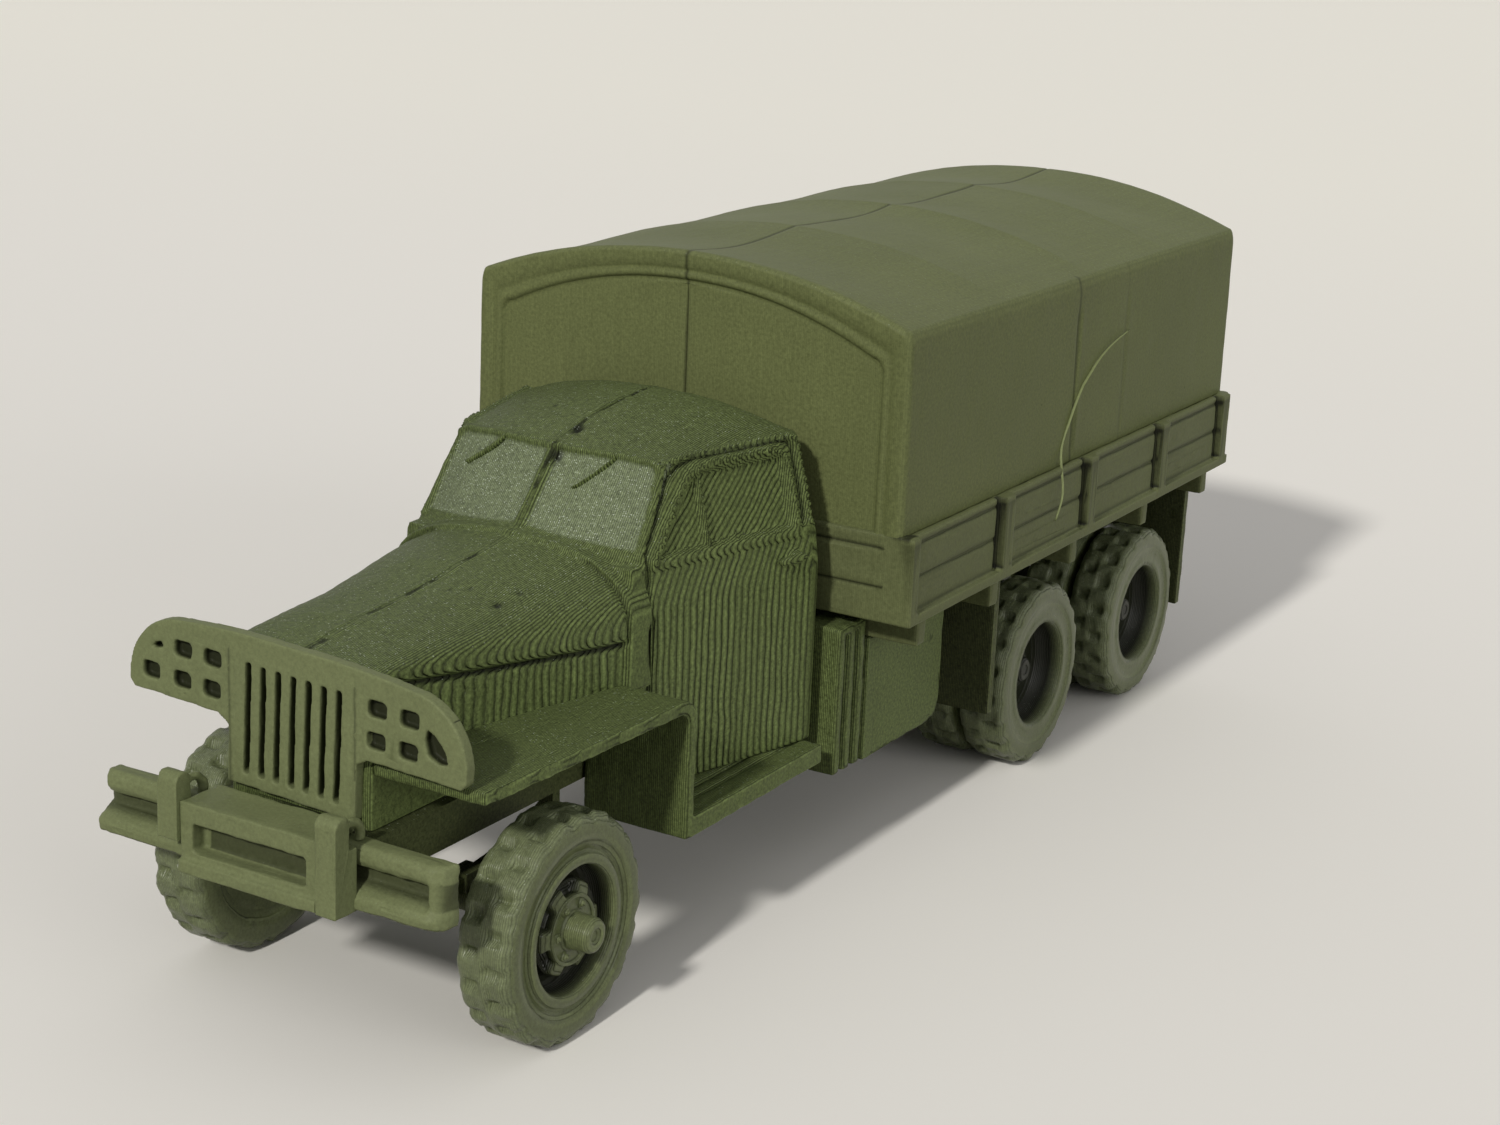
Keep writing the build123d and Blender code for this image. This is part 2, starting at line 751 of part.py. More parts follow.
with BuildPart() as cab_left_half:
    loft([hood_section(*row).face() for row in hood_sections], ruled=True)
    cowl = hood_section(hood_rear_station, cowl_half_width + hood_step + 0.1, 23.1, 29.0, 1.6)
    extrude(cowl, amount=-(cowl_rear_station - hood_rear_station))
    with BuildSketch(Plane.XY.offset(cab_floor_z)):
        with BuildLine():
            Polyline(
                (0, y_of(hood_front_station)),
                (bay_half_width, y_of(hood_front_station)),
                (bay_half_width, y_of(fender_band_station)),
                (0, y_of(fender_band_station)),
                close=True,
            )
        make_face()
    extrude(amount=hood_bottom_z - cab_floor_z)
    band_rear = fender_band_station + fender_thickness
    cabin = level(cab_floor_z, (
        (0, band_rear), (cowl_half_width, band_rear), (cowl_half_width, cowl_rear_station),
        (cab_rear_half_width, door_rear_station + 0.6), (cab_rear_half_width - 0.5, cab_rear_station),
        (0, cab_rear_station),
    ))
    extrude(cabin, amount=knee_z - cab_floor_z)
    skirt = level(door_bottom_z, (
        (rail_outer_x + 0.2, band_rear), (cowl_half_width, band_rear),
        (cowl_half_width, cowl_rear_station),
        (cab_rear_half_width, door_rear_station + 0.6), (cab_rear_half_width - 0.5, cab_rear_station),
        (rail_outer_x + 0.2, cab_rear_station),
    ))
    extrude(skirt, amount=cab_floor_z - door_bottom_z)
    knee_rows = (
        (0, band_rear), (cowl_half_width, band_rear), (cowl_half_width, cowl_rear_station),
        (cab_rear_half_width, door_rear_station + 0.6), (cab_rear_half_width - 0.5, cab_rear_station),
        (0, cab_rear_station),
    )
    belt_rows = [(x - belt_lean if x > 1 else x, station) for x, station in knee_rows]
    loft([level(knee_z, knee_rows).face(), level(belt_z, belt_rows).face()], ruled=True)
    base_rows = (
        (0, windshield_base_station - 1.2), (windshield_base_half_width, windshield_base_station),
        (cowl_half_width + 0.15 - belt_lean, cowl_rear_station + 0.2),
        (cab_rear_half_width - belt_lean, door_rear_station + 0.6),
        (cab_rear_half_width - 0.5 - belt_lean, cab_rear_station),
        (0, cab_rear_station),
    )
    top_rows = (
        (0, windshield_top_station - 0.5), (windshield_top_half_width, windshield_top_station),
        (roof_front_half_width, roof_front_station),
        (roof_rear_half_width, roof_rear_station - 1.0), (roof_rear_half_width - 0.8, roof_rear_station),
        (0, cab_rear_station),
    )
    roof_plan = level(roof_rail_z, top_rows)
    loft([level(belt_z, base_rows).face(), roof_plan.face()], ruled=True)
    extrude(roof_plan, amount=roof_crown_z - roof_rail_z + 1)
    with BuildSketch(Plane.YZ.offset(-1)):
        with BuildLine():
            start = (y_of(windshield_top_station - 0.5), roof_rail_z)
            Polyline(
                start,
                (y_of(hood_front_station - 5), roof_rail_z),
                (y_of(hood_front_station - 5), 0),
                (y_of(cab_rear_station + 2), 0),
                (y_of(cab_rear_station + 2), roof_crown_z - 0.6),
                (y_of(cab_rear_station - 0.2), roof_crown_z - 0.6),
            )
            ThreePointArc(
                (y_of(cab_rear_station - 0.2), roof_crown_z - 0.6),
                (y_of(26.5), roof_crown_z),
                start,
            )
        make_face()
    extrude(amount=cab_rear_half_width + 3, mode=Mode.INTERSECT)
    with BuildSketch(Plane(origin=(0, y_of(hood_front_station - 5), 0), x_dir=(1, 0, 0),
                           z_dir=(0, -1, 0))):
        with BuildLine():
            Polyline(
                (0, roof_crown_z),
                (-1, roof_crown_z),
                (-1, 0),
                (cab_rear_half_width + 3, 0),
                (cab_rear_half_width + 3, roof_rail_z - 0.5),
                (roof_rear_half_width + 0.6, roof_rail_z - 0.5),
            )
            ThreePointArc(
                (roof_rear_half_width + 0.6, roof_rail_z - 0.5),
                (roof_rear_half_width * 0.6, roof_crown_z - 0.55),
                (0, roof_crown_z),
            )
        make_face()
    extrude(amount=-(cab_rear_station - hood_front_station + 10), mode=Mode.INTERSECT)
    # outline of the door, cut into the side
    side_turn = atan2(cab_rear_half_width - cowl_half_width,
                      door_rear_station + 0.6 - cowl_rear_station)
    side_plane = Plane(
        origin=(cowl_half_width, y_of(cowl_rear_station), 0),
        x_dir=(sin(side_turn), cos(side_turn), 0),
        z_dir=(cos(side_turn), -sin(side_turn), 0),
    )
    side_length = (door_rear_station - cowl_rear_station) / cos(side_turn)
    with BuildSketch(side_plane):
        with Locations((groove / 2, (door_bottom_z + belt_z) / 2)):
            Rectangle(groove, belt_z - door_bottom_z)
    extrude(amount=-groove_depth, mode=Mode.SUBTRACT)
    # handle
    with BuildSketch(side_plane) as handle_sketch:
        with Locations((side_length - handle_inset, handle_z)):
            RectangleRounded(handle_length, handle_size, 0.2)
    extrude(amount=handle_reach)
    extrude(handle_sketch.sketch, amount=-2 * belt_lean)
    # side window, recessed in the leaning upper panel
    low_front = Vector(cowl_half_width + 0.15 - belt_lean, y_of(cowl_rear_station + 0.2), belt_z)
    low_rear = Vector(cab_rear_half_width - belt_lean, y_of(door_rear_station + 0.6), belt_z)
    high_rear = Vector(roof_rear_half_width, y_of(roof_rear_station - 1.0), roof_rail_z)
    lean = (low_rear - low_front).cross(high_rear - low_front).normalized()
    window_plane = Plane(origin=low_front, x_dir=low_rear - low_front, z_dir=lean)
    with BuildSketch(window_plane):
        with BuildLine():
            Polyline((1.4, 0.7), (14.4, 0.7), (13.6, 5.9), (5.0, 5.9), (4.0, 5.2), close=True)
        make_face()
        fillet(vertices(), 0.35)
        with BuildLine():
            Polyline((5.5, 0.5), (5.9, 0.5), (5.3, 6.1), (4.9, 6.1), close=True)
        make_face(mode=Mode.SUBTRACT)
    extrude(amount=-glass_depth, mode=Mode.SUBTRACT)
    # windshield pane
    ws_low = Vector(0, y_of(windshield_base_station - 1.2), windshield_base_z)
    ws_side = Vector(windshield_base_half_width, y_of(windshield_base_station), windshield_base_z)
    ws_top = Vector(0, y_of(windshield_top_station - 0.5), roof_rail_z)
    face_out = (ws_side - ws_low).cross(ws_top - ws_low).normalized()
    glass_plane = Plane(origin=ws_low, x_dir=ws_side - ws_low, z_dir=face_out)
    with BuildSketch(glass_plane):
        with BuildLine():
            Polyline((0.35, 0.8), (8.3, 0.8), (7.5, 5.6), (0.35, 5.9), close=True)
        make_face()
        fillet(vertices(), 0.35)
    extrude(amount=-0.25, mode=Mode.SUBTRACT)
keep(cab_left_half, "cab_left_half")


def mirrored(half, label):
    """The right half of a pair, mirrored in the truck's middle plane."""
    with BuildPart() as other:
        add(half.part.mirror(Plane.YZ))
    keep(other, label)


mirrored(cab_left_half, "cab_right_half")

# fender and running board, one folded band
board_top_z = door_bottom_z
board_bottom_z = board_top_z - board_thickness
with BuildPart() as fender_left:
    with BuildSketch(Plane.YZ.offset(bay_half_width)):
        front_y = y_of(hood_front_station)
        band_y = y_of(fender_band_station)
        outer_y = band_y + fender_thickness
        rear_y = y_of(board_rear_station)
        with BuildLine():
            Polyline(
                (front_y, fender_top_z - fender_thickness),
                (front_y, fender_top_z),
                (outer_y, fender_top_z),
                (outer_y, board_top_z),
                (rear_y, board_top_z),
                (rear_y, board_bottom_z),
                (band_y, board_bottom_z),
                (band_y, fender_top_z - fender_thickness),
                close=True,
            )
        make_face()
        corner = vertices().filter_by_position(Axis.X, outer_y - 0.01, outer_y + 0.01)
        fillet(corner.sort_by(Axis.Y)[-1:], fender_corner)
        inner = vertices().filter_by_position(Axis.X, band_y - 0.01, band_y + 0.01)
        fillet(inner.sort_by(Axis.Y)[-1:], fender_corner - fender_thickness / 2)
    extrude(amount=fender_rear_half_width - bay_half_width)
    with BuildSketch(Plane.XY):
        with BuildLine():
            Polyline(
                (0, front_y),
                (fender_front_half_width, front_y),
                (fender_rear_half_width, outer_y),
                (fender_rear_half_width, rear_y),
                (0, rear_y),
                close=True,
            )
        make_face()
    extrude(amount=fender_top_z + 1, mode=Mode.INTERSECT)
    with BuildSketch(Plane.XY):
        with BuildLine():
            Polyline(
                (0, band_y - 0.1), (rail_outer_x + 0.2, band_y - 0.1),
                (rail_outer_x + 0.2, rear_y), (0, rear_y), close=True,
            )
        make_face()
    extrude(amount=cab_floor_z, mode=Mode.SUBTRACT)
    # lengthwise grooves on the fender top and the running board
    for start, end in fender_grooves:
        run = Edge.make_line((start[0], y_of(start[1])), (end[0], y_of(end[1])))
        turn = Plane(origin=run @ 0.5 + Vector(0, 0, fender_top_z), x_dir=run % 0, z_dir=(0, 0, 1))
        with BuildSketch(turn):
            Rectangle(run.length, fender_groove)
        extrude(amount=-fender_groove, mode=Mode.SUBTRACT)
    for rank in range(board_grooves):
        groove_x = fender_rear_half_width - board_lip - rank * board_groove_pitch
        with Locations((groove_x, (outer_y + rear_y) / 2 + 0.2, board_top_z)):
            Box(board_groove, rear_y - outer_y - 0.4, 2 * board_groove, mode=Mode.SUBTRACT)
keep(fender_left, "fender_left")
mirrored(fender_left, "fender_right")

# battery box with upright ribs, and the tank behind it, on each side
with BuildPart() as battery_box_left:
    box_y = y_of(battery_front_station)
    with BuildSketch(Plane.XY.offset(box_bottom_z)):
        with Locations(((rail_outer_x + box_half_width - rib_height) / 2,
                        box_y + battery_length / 2)):
            Rectangle(box_half_width - rib_height - rail_outer_x, battery_length)
        for rib in range(rib_count):
            rib_y = box_y + rib_width / 2 + rib * (battery_length - rib_width) / (rib_count - 1)
            with Locations((box_half_width - rib_height, rib_y)):
                Rectangle(2 * rib_height, rib_width)
    extrude(amount=battery_top_z - box_bottom_z)
    with Locations(((rail_outer_x + box_half_width) / 2, box_y + battery_length / 2,
                    battery_top_z - rib_cap / 2)):
        Box(box_half_width - rail_outer_x, battery_length, rib_cap)
keep(battery_box_left, "battery_box_left")
mirrored(battery_box_left, "battery_box_right")

with BuildPart() as fuel_tank_left:
    tank_mid_y = y_of(tank_front_station) + tank_length / 2
    with BuildSketch(Plane.YZ.offset(rail_outer_x)):
        with Locations((tank_mid_y, (box_bottom_z + tank_top_z) / 2)):
            Rectangle(tank_length, tank_top_z - box_bottom_z)
        low = vertices().group_by(Axis.Y)[0].sort_by(Axis.X)[-1:]
        fillet(low, tank_corner)
    extrude(amount=box_half_width - rail_outer_x)
keep(fuel_tank_left, "fuel_tank_left")
mirrored(fuel_tank_left, "fuel_tank_right")

# cargo bed, left half: floor, boards, stakes, sill and cross bearers
bed_front_y = y_of(bed_front_station)
bed_rear_y = y_of(bed_rear_station)
bed_mid_y = (bed_front_y + bed_rear_y) / 2
plank_face_x = bed_half_width - stake_relief
bed_mid_z = (bed_bottom_z + bed_top_z) / 2
bed_height = bed_top_z - bed_bottom_z
with BuildPart() as bed_left_half:
    with BuildSketch(Plane.XY.offset(bed_bottom_z)):
        with Locations((plank_face_x / 2, bed_mid_y)):
            Rectangle(plank_face_x, bed_length)
    extrude(amount=bed_height)
    with BuildSketch(Plane.XY.offset(bed_bottom_z + bed_floor)):
        with Locations(((bed_half_width - board_wall) / 2, bed_mid_y)):
            Rectangle(bed_half_width - board_wall, bed_length - 2 * board_wall)
    extrude(amount=bed_height, mode=Mode.SUBTRACT)
    with Locations((bed_half_width / 2, bed_mid_y, bed_bottom_z + bed_lip_height / 2)):
        Box(bed_half_width, bed_length, bed_lip_height)
    for groove_z in plank_grooves_z:
        with Locations((plank_face_x, bed_mid_y, groove_z)):
            Box(0.4, bed_length + 1, side_groove, mode=Mode.SUBTRACT)
    front_groove_x = plank_face_x - 2 * corner_post
    for groove_z in front_grooves_z:
        for end_y in (bed_front_y, bed_rear_y):
            with Locations((front_groove_x / 2, end_y, groove_z)):
                Box(front_groove_x, 0.4, groove, mode=Mode.SUBTRACT)
    for share in stake_shares:
        stake_y = y_of(bed_station(share))
        with Locations((plank_face_x, stake_y, bed_mid_z)):
            Box(2 * stake_relief, stake_width, bed_height)
        with Locations((plank_face_x, stake_y - (stake_width + stake_gap) / 2,
                        bed_mid_z + bed_lip_height / 2)):
            Box(2 * stake_gap_depth, stake_gap, bed_height - bed_lip_height, mode=Mode.SUBTRACT)
    with Locations((plank_face_x, bed_front_y + corner_post / 2, bed_mid_z)):
        Box(2 * stake_relief, corner_post, bed_height)
    with Locations((rail_mid_x, bed_mid_y, rail_top_z + sill_height / 2)):
        Box(sill_width, bed_length - 2 * sill_inset, sill_height)
    for share in bearer_shares:
        with Locations(((bed_half_width - bearer_inset) / 2, y_of(bed_station(share)),
                        (bearer_bottom_z + bed_bottom_z) / 2)):
            Box(bed_half_width - bearer_inset, bearer_width, bed_bottom_z - bearer_bottom_z)
keep(bed_left_half, "bed_left_half")
mirrored(bed_left_half, "bed_right_half")

# cloth cover, left half: one section at each hoop and a slacker one between
cover_base_z = bed_bottom_z + bed_floor
bays = hoop_count - 1


def cover_section(y, sag, inset):
    """Half section of the cover across the truck."""
    shoulder = cover_shoulder_radius
    side_x = cover_half_width - inset
    corner_z = cover_shoulder_z - inset
    top_z = cover_crown_z - sag - inset
    with BuildSketch(Plane(origin=(0, y, 0), x_dir=(1, 0, 0), z_dir=(0, -1, 0))) as section:
        with BuildLine():
            Polyline(
                (0, top_z),
                (0, cover_base_z),
                (cover_base_half_width - inset, cover_base_z),
                (side_x, corner_z - shoulder),
            )
            ThreePointArc(
                (side_x, corner_z - shoulder),
                (side_x - shoulder * 0.35, corner_z - shoulder * 0.28),
                (side_x - shoulder, corner_z + 0.25),
            )
            ThreePointArc(
                (side_x - shoulder, corner_z + 0.25),
                (side_x * 0.5, (corner_z + 0.25 + top_z) / 2 + 0.75 * (top_z - corner_z) / 3),
                (0, top_z),
            )
        make_face()
    return section.sketch


with BuildPart() as cover_left_half:
    hoops = [
        cover_section(bed_front_y + bed_length * step / (2 * bays), hoop_sag * (step % 2), 0).face()
        for step in range(2 * bays + 1)
    ]
    loft(hoops, ruled=True)
    with BuildSketch(Plane.XY.offset(cover_base_z)):
        with Locations((bed_half_width / 2, bed_mid_y)):
            Rectangle(bed_half_width + 2, bed_length + 2)
            Rectangle(bed_half_width + 2, bed_length - 2 * board_wall, mode=Mode.SUBTRACT)
    extrude(amount=bed_top_z - cover_base_z, mode=Mode.SUBTRACT)
    end_wall = cover_wall + cover_recess + board_wall
    hollow = cover_section(bed_front_y + end_wall, hoop_sag, cover_wall)
    extrude(hollow, amount=-(bed_length - 2 * end_wall), mode=Mode.SUBTRACT)
    for end_y, way in ((bed_front_y, -1), (bed_rear_y, 1)):
        panel = cover_section(end_y, 0, cover_rim)
        extrude(panel, amount=way * cover_recess, mode=Mode.SUBTRACT)
keep(cover_left_half, "cover_left_half")
mirrored(cover_left_half, "cover_right_half")

# mud flaps, before and behind the rear wheels, hung from the bed
with BuildPart() as mud_flaps:
    for side in (-1, 1):
        for station, bottom_z in zip(flap_stations, flap_bottoms_z):
            height = bed_bottom_z - bottom_z
            with Locations((side * (flap_inner_x + flap_half_width) / 2,
                            y_of(station), bottom_z + height / 2)):
                Box(flap_half_width - flap_inner_x, flap_thickness, height)
keep(mud_flaps, "mud_flaps")

# tail lamp brackets under the rear corners
with BuildPart() as tail_lamps:
    for side in (-1, 1):
        lamp_z = bed_bottom_z - tail_bracket_thickness / 2
        with Locations((side * tail_lamp_x, bed_rear_y + (tail_bracket_length - tail_bracket_root) / 2,
                        lamp_z)):
            Box(tail_lamp_width, tail_bracket_length + tail_bracket_root, tail_bracket_thickness)
keep(tail_lamps, "tail_lamps")

# tow hitch on the rear cross member
with BuildPart() as tow_hitch:
    hitch_z = rail_bottom_z + rail_height / 2
    with Locations((0, rail_rear_y + hitch_length / 2, hitch_z)):
        Box(hitch_width, hitch_length, hitch_height)
    with Locations((0, rail_rear_y + hitch_length, hitch_z)):
        Cylinder(hitch_width / 2, hitch_height)
        Hole(hitch_bore)
keep(tow_hitch, "tow_hitch")

whole = Compound(children=written)
print("pieces", len(written), "box", whole.bounding_box())
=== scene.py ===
import math
from functools import partial

import bmesh
import bpy
import numpy as np
from mathutils import Matrix, Vector, noise
from mathutils.kdtree import KDTree


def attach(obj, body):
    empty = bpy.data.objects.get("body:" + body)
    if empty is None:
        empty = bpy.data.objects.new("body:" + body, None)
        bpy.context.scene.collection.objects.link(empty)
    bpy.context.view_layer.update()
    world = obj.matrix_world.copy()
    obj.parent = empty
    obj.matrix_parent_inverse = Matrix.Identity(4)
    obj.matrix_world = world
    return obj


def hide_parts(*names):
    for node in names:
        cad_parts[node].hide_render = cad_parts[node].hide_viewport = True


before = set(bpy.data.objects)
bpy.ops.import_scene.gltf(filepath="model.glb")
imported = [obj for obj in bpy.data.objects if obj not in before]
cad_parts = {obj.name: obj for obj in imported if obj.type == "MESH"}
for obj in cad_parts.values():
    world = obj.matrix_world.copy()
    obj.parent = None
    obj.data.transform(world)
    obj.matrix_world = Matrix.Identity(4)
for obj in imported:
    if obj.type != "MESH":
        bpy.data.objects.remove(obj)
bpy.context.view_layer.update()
mm = 0.001
frontAxleY = -42.325            # every station below counts back from the front axle
print("frame loaded:", len(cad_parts), "nodes")

# camera
view = {
    "place": (99.63, -168.445, 77.53),
    "azimuth": 30.2417, "elevation": 16.4526, "roll": 2.5509,
    "focal": 2595.93, "photoWidth": 1500,
}


def wayTowards(azimuth, elevation):
    # degrees from the truck's front and up from the floor
    az, el = math.radians(azimuth), math.radians(elevation)
    return Vector((math.sin(az) * math.cos(el), -math.cos(az) * math.cos(el), math.sin(el)))


def aimCamera(spec):
    back = wayTowards(spec["azimuth"], spec["elevation"])
    roll = math.radians(spec["roll"])
    side = Vector((0, 0, 1)).cross(back).normalized()
    up = back.cross(side)
    right = side * math.cos(roll) + up * math.sin(roll)
    top = up * math.cos(roll) - side * math.sin(roll)
    data = bpy.data.cameras.new("photoCamera")
    data.sensor_width = 36
    data.sensor_fit = "HORIZONTAL"
    data.lens = spec["focal"] / spec["photoWidth"] * 36
    data.clip_start = 0.005
    data.clip_end = 20
    cam = bpy.data.objects.new("photoCamera", data)
    turn = Matrix((right, top, back)).transposed().to_4x4()
    turn.translation = Vector(spec["place"]) * mm
    cam.matrix_world = turn
    bpy.context.scene.collection.objects.link(cam)
    bpy.context.scene.camera = cam


aimCamera(view)
print("camera set")

# studio
studio = {
    "floorSize": 3.0, "farFrom": 0.05, "farTo": 0.45,
    "floorShown": (0.93, 0.915, 0.89), "farShown": (0.97, 0.955, 0.90), "floorBounce": (0.38, 0.37, 0.34),
    "ambient": 0.36, "ambientColor": (1.0, 0.985, 0.96), "horizon": 0.15,
    "skyShown": 0.66,
    "lamps": (
        # name, strength, softness in degrees, azimuth from the truck's front, elevation, color
        ("windowLight", 2.12, 4.6, 3.7, 33.0, (1.0, 0.97, 0.90)),
        ("roomFill", 0.75, 38.0, 80.0, 14.0, (1.0, 0.98, 0.95)),
    ),
}


def node(tree, kind, place=(0, 0), **settings):
    made = tree.nodes.new(kind)
    made.location = place
    for key, value in settings.items():
        setattr(made, key, value)
    return made


def fedNode(tree, kind, place, source, **settings):
    made = node(tree, kind, place, **settings)
    tree.links.new(source, made.inputs[0])
    return made


def socketsFor(group, ins, outs):
    for name, kind, value in ins:
        made = group.interface.new_socket(name=name, in_out="INPUT", socket_type=kind)
        made.default_value = value
    for name, kind in outs:
        group.interface.new_socket(name=name, in_out="OUTPUT", socket_type=kind)


def mathNode(tree, operation, place, a, b=None, c=None, clamp=False):
    made = node(tree, "ShaderNodeMath", place, operation=operation, use_clamp=clamp)
    for slotIndex, value in enumerate((a, b, c)):
        if value is None:
            continue
        if hasattr(value, "is_output"):
            tree.links.new(value, made.inputs[slotIndex])
        else:
            made.inputs[slotIndex].default_value = value
    return made.outputs[0]


def seenByRays(tree):
    # 1 where a surface or the world is looked at, straight or in a reflection
    rays = node(tree, "ShaderNodeLightPath", (-700, 300))
    return mathNode(tree, "MAXIMUM", (-500, 300), rays.outputs["Is Camera Ray"], rays.outputs["Is Glossy Ray"])


def buildStudio(spec):
    size = spec["floorSize"]
    mesh = bpy.data.meshes.new("paleFloor")
    corners = [(-size, -size, 0), (size, -size, 0), (size, size, 0), (-size, size, 0)]
    mesh.from_pydata(corners, [], [(0, 1, 2, 3)])
    floor = bpy.data.objects.new("paleFloor", mesh)
    bpy.context.scene.collection.objects.link(floor)
    mat = bpy.data.materials.new("paleFloor")
    mat.use_nodes = True
    tree = mat.node_tree
    shader = tree.nodes["Principled BSDF"]
    shader.inputs["Roughness"].default_value = 0.85
    shader.inputs["Specular IOR Level"].default_value = 0.2
    coords = node(tree, "ShaderNodeTexCoord", (-900, 0))
    split = fedNode(tree, "ShaderNodeSeparateXYZ", (-700, 0), coords.outputs["Object"])
    fade = node(tree, "ShaderNodeMapRange", (-500, 0), interpolation_type="SMOOTHSTEP")
    fade.inputs["From Min"].default_value = spec["farFrom"]
    fade.inputs["From Max"].default_value = spec["farTo"]
    tree.links.new(split.outputs["Y"], fade.inputs["Value"])
    seen = seenByRays(tree)
    blends = []
    for place, amount in ((-300, fade.outputs["Result"]), (-100, seen)):
        blend = node(tree, "ShaderNodeMix", (place, 0), data_type="RGBA")
        tree.links.new(amount, blend.inputs["Factor"])
        blends.append(blend)
    blends[0].inputs["A"].default_value = (*spec["floorShown"], 1)
    blends[0].inputs["B"].default_value = (*spec["farShown"], 1)
    blends[1].inputs["A"].default_value = (*spec["floorBounce"], 1)
    tree.links.new(blends[0].outputs["Result"], blends[1].inputs["B"])
    tree.links.new(blends[1].outputs["Result"], shader.inputs["Base Color"])
    mesh.materials.append(mat)

    world = bpy.data.worlds.new("softRoom")
    bpy.context.scene.world = world
    world.use_nodes = True
    sky = world.node_tree
    background = sky.nodes["Background"]
    background.inputs["Color"].default_value = (*spec["ambientColor"], 1)
    coords = node(sky, "ShaderNodeTexCoord", (-800, 0))
    way = fedNode(sky, "ShaderNodeSeparateXYZ", (-600, 0), coords.outputs["Generated"])
    rise = node(sky, "ShaderNodeMapRange", (-400, 0), interpolation_type="SMOOTHSTEP")
    for key, number in (("From Min", 0.04), ("From Max", 0.4), ("To Min", spec["horizon"] * spec["ambient"]),
            ("To Max", spec["ambient"])):
        rise.inputs[key].default_value = number
    sky.links.new(way.outputs["Z"], rise.inputs["Value"])
    seen = seenByRays(sky)
    step = mathNode(sky, "SUBTRACT", (-200, 100), spec["skyShown"], rise.outputs["Result"])
    sky.links.new(mathNode(sky, "MULTIPLY_ADD", (0, 0), seen, step, rise.outputs["Result"]),
        background.inputs["Strength"])

    for name, strength, softness, azimuth, elevation, color in spec["lamps"]:
        lampData = bpy.data.lights.new(name, "SUN")
        lampData.energy = strength
        lampData.angle = math.radians(softness)
        lampData.color = color
        lamp = bpy.data.objects.new(name, lampData)
        lamp.location = wayTowards(azimuth, elevation)
        lamp.rotation_euler = wayTowards(azimuth, elevation).to_track_quat("Z", "Y").to_euler()
        bpy.context.scene.collection.objects.link(lamp)
    bpy.context.scene.view_settings.view_transform = "Standard"


buildStudio(studio)
print("studio set")


# printed plastic
def mapTo(tree, place, value, low, high, toLow=0.0, toHigh=1.0):
    made = node(tree, "ShaderNodeMapRange", place, interpolation_type="SMOOTHSTEP")
    for key, number in (("From Min", low), ("From Max", high), ("To Min", toLow), ("To Max", toHigh)):
        made.inputs[key].default_value = number
    tree.links.new(value, made.inputs["Value"])
    return made.outputs["Result"]


def textureNode(tree, kind, place, vector, scale, **numbers):
    made = node(tree, kind, place)
    made.inputs["Scale"].default_value = scale
    for key, number in numbers.items():
        made.inputs[key].default_value = number
    tree.links.new(vector, made.inputs["Vector"])
    return made


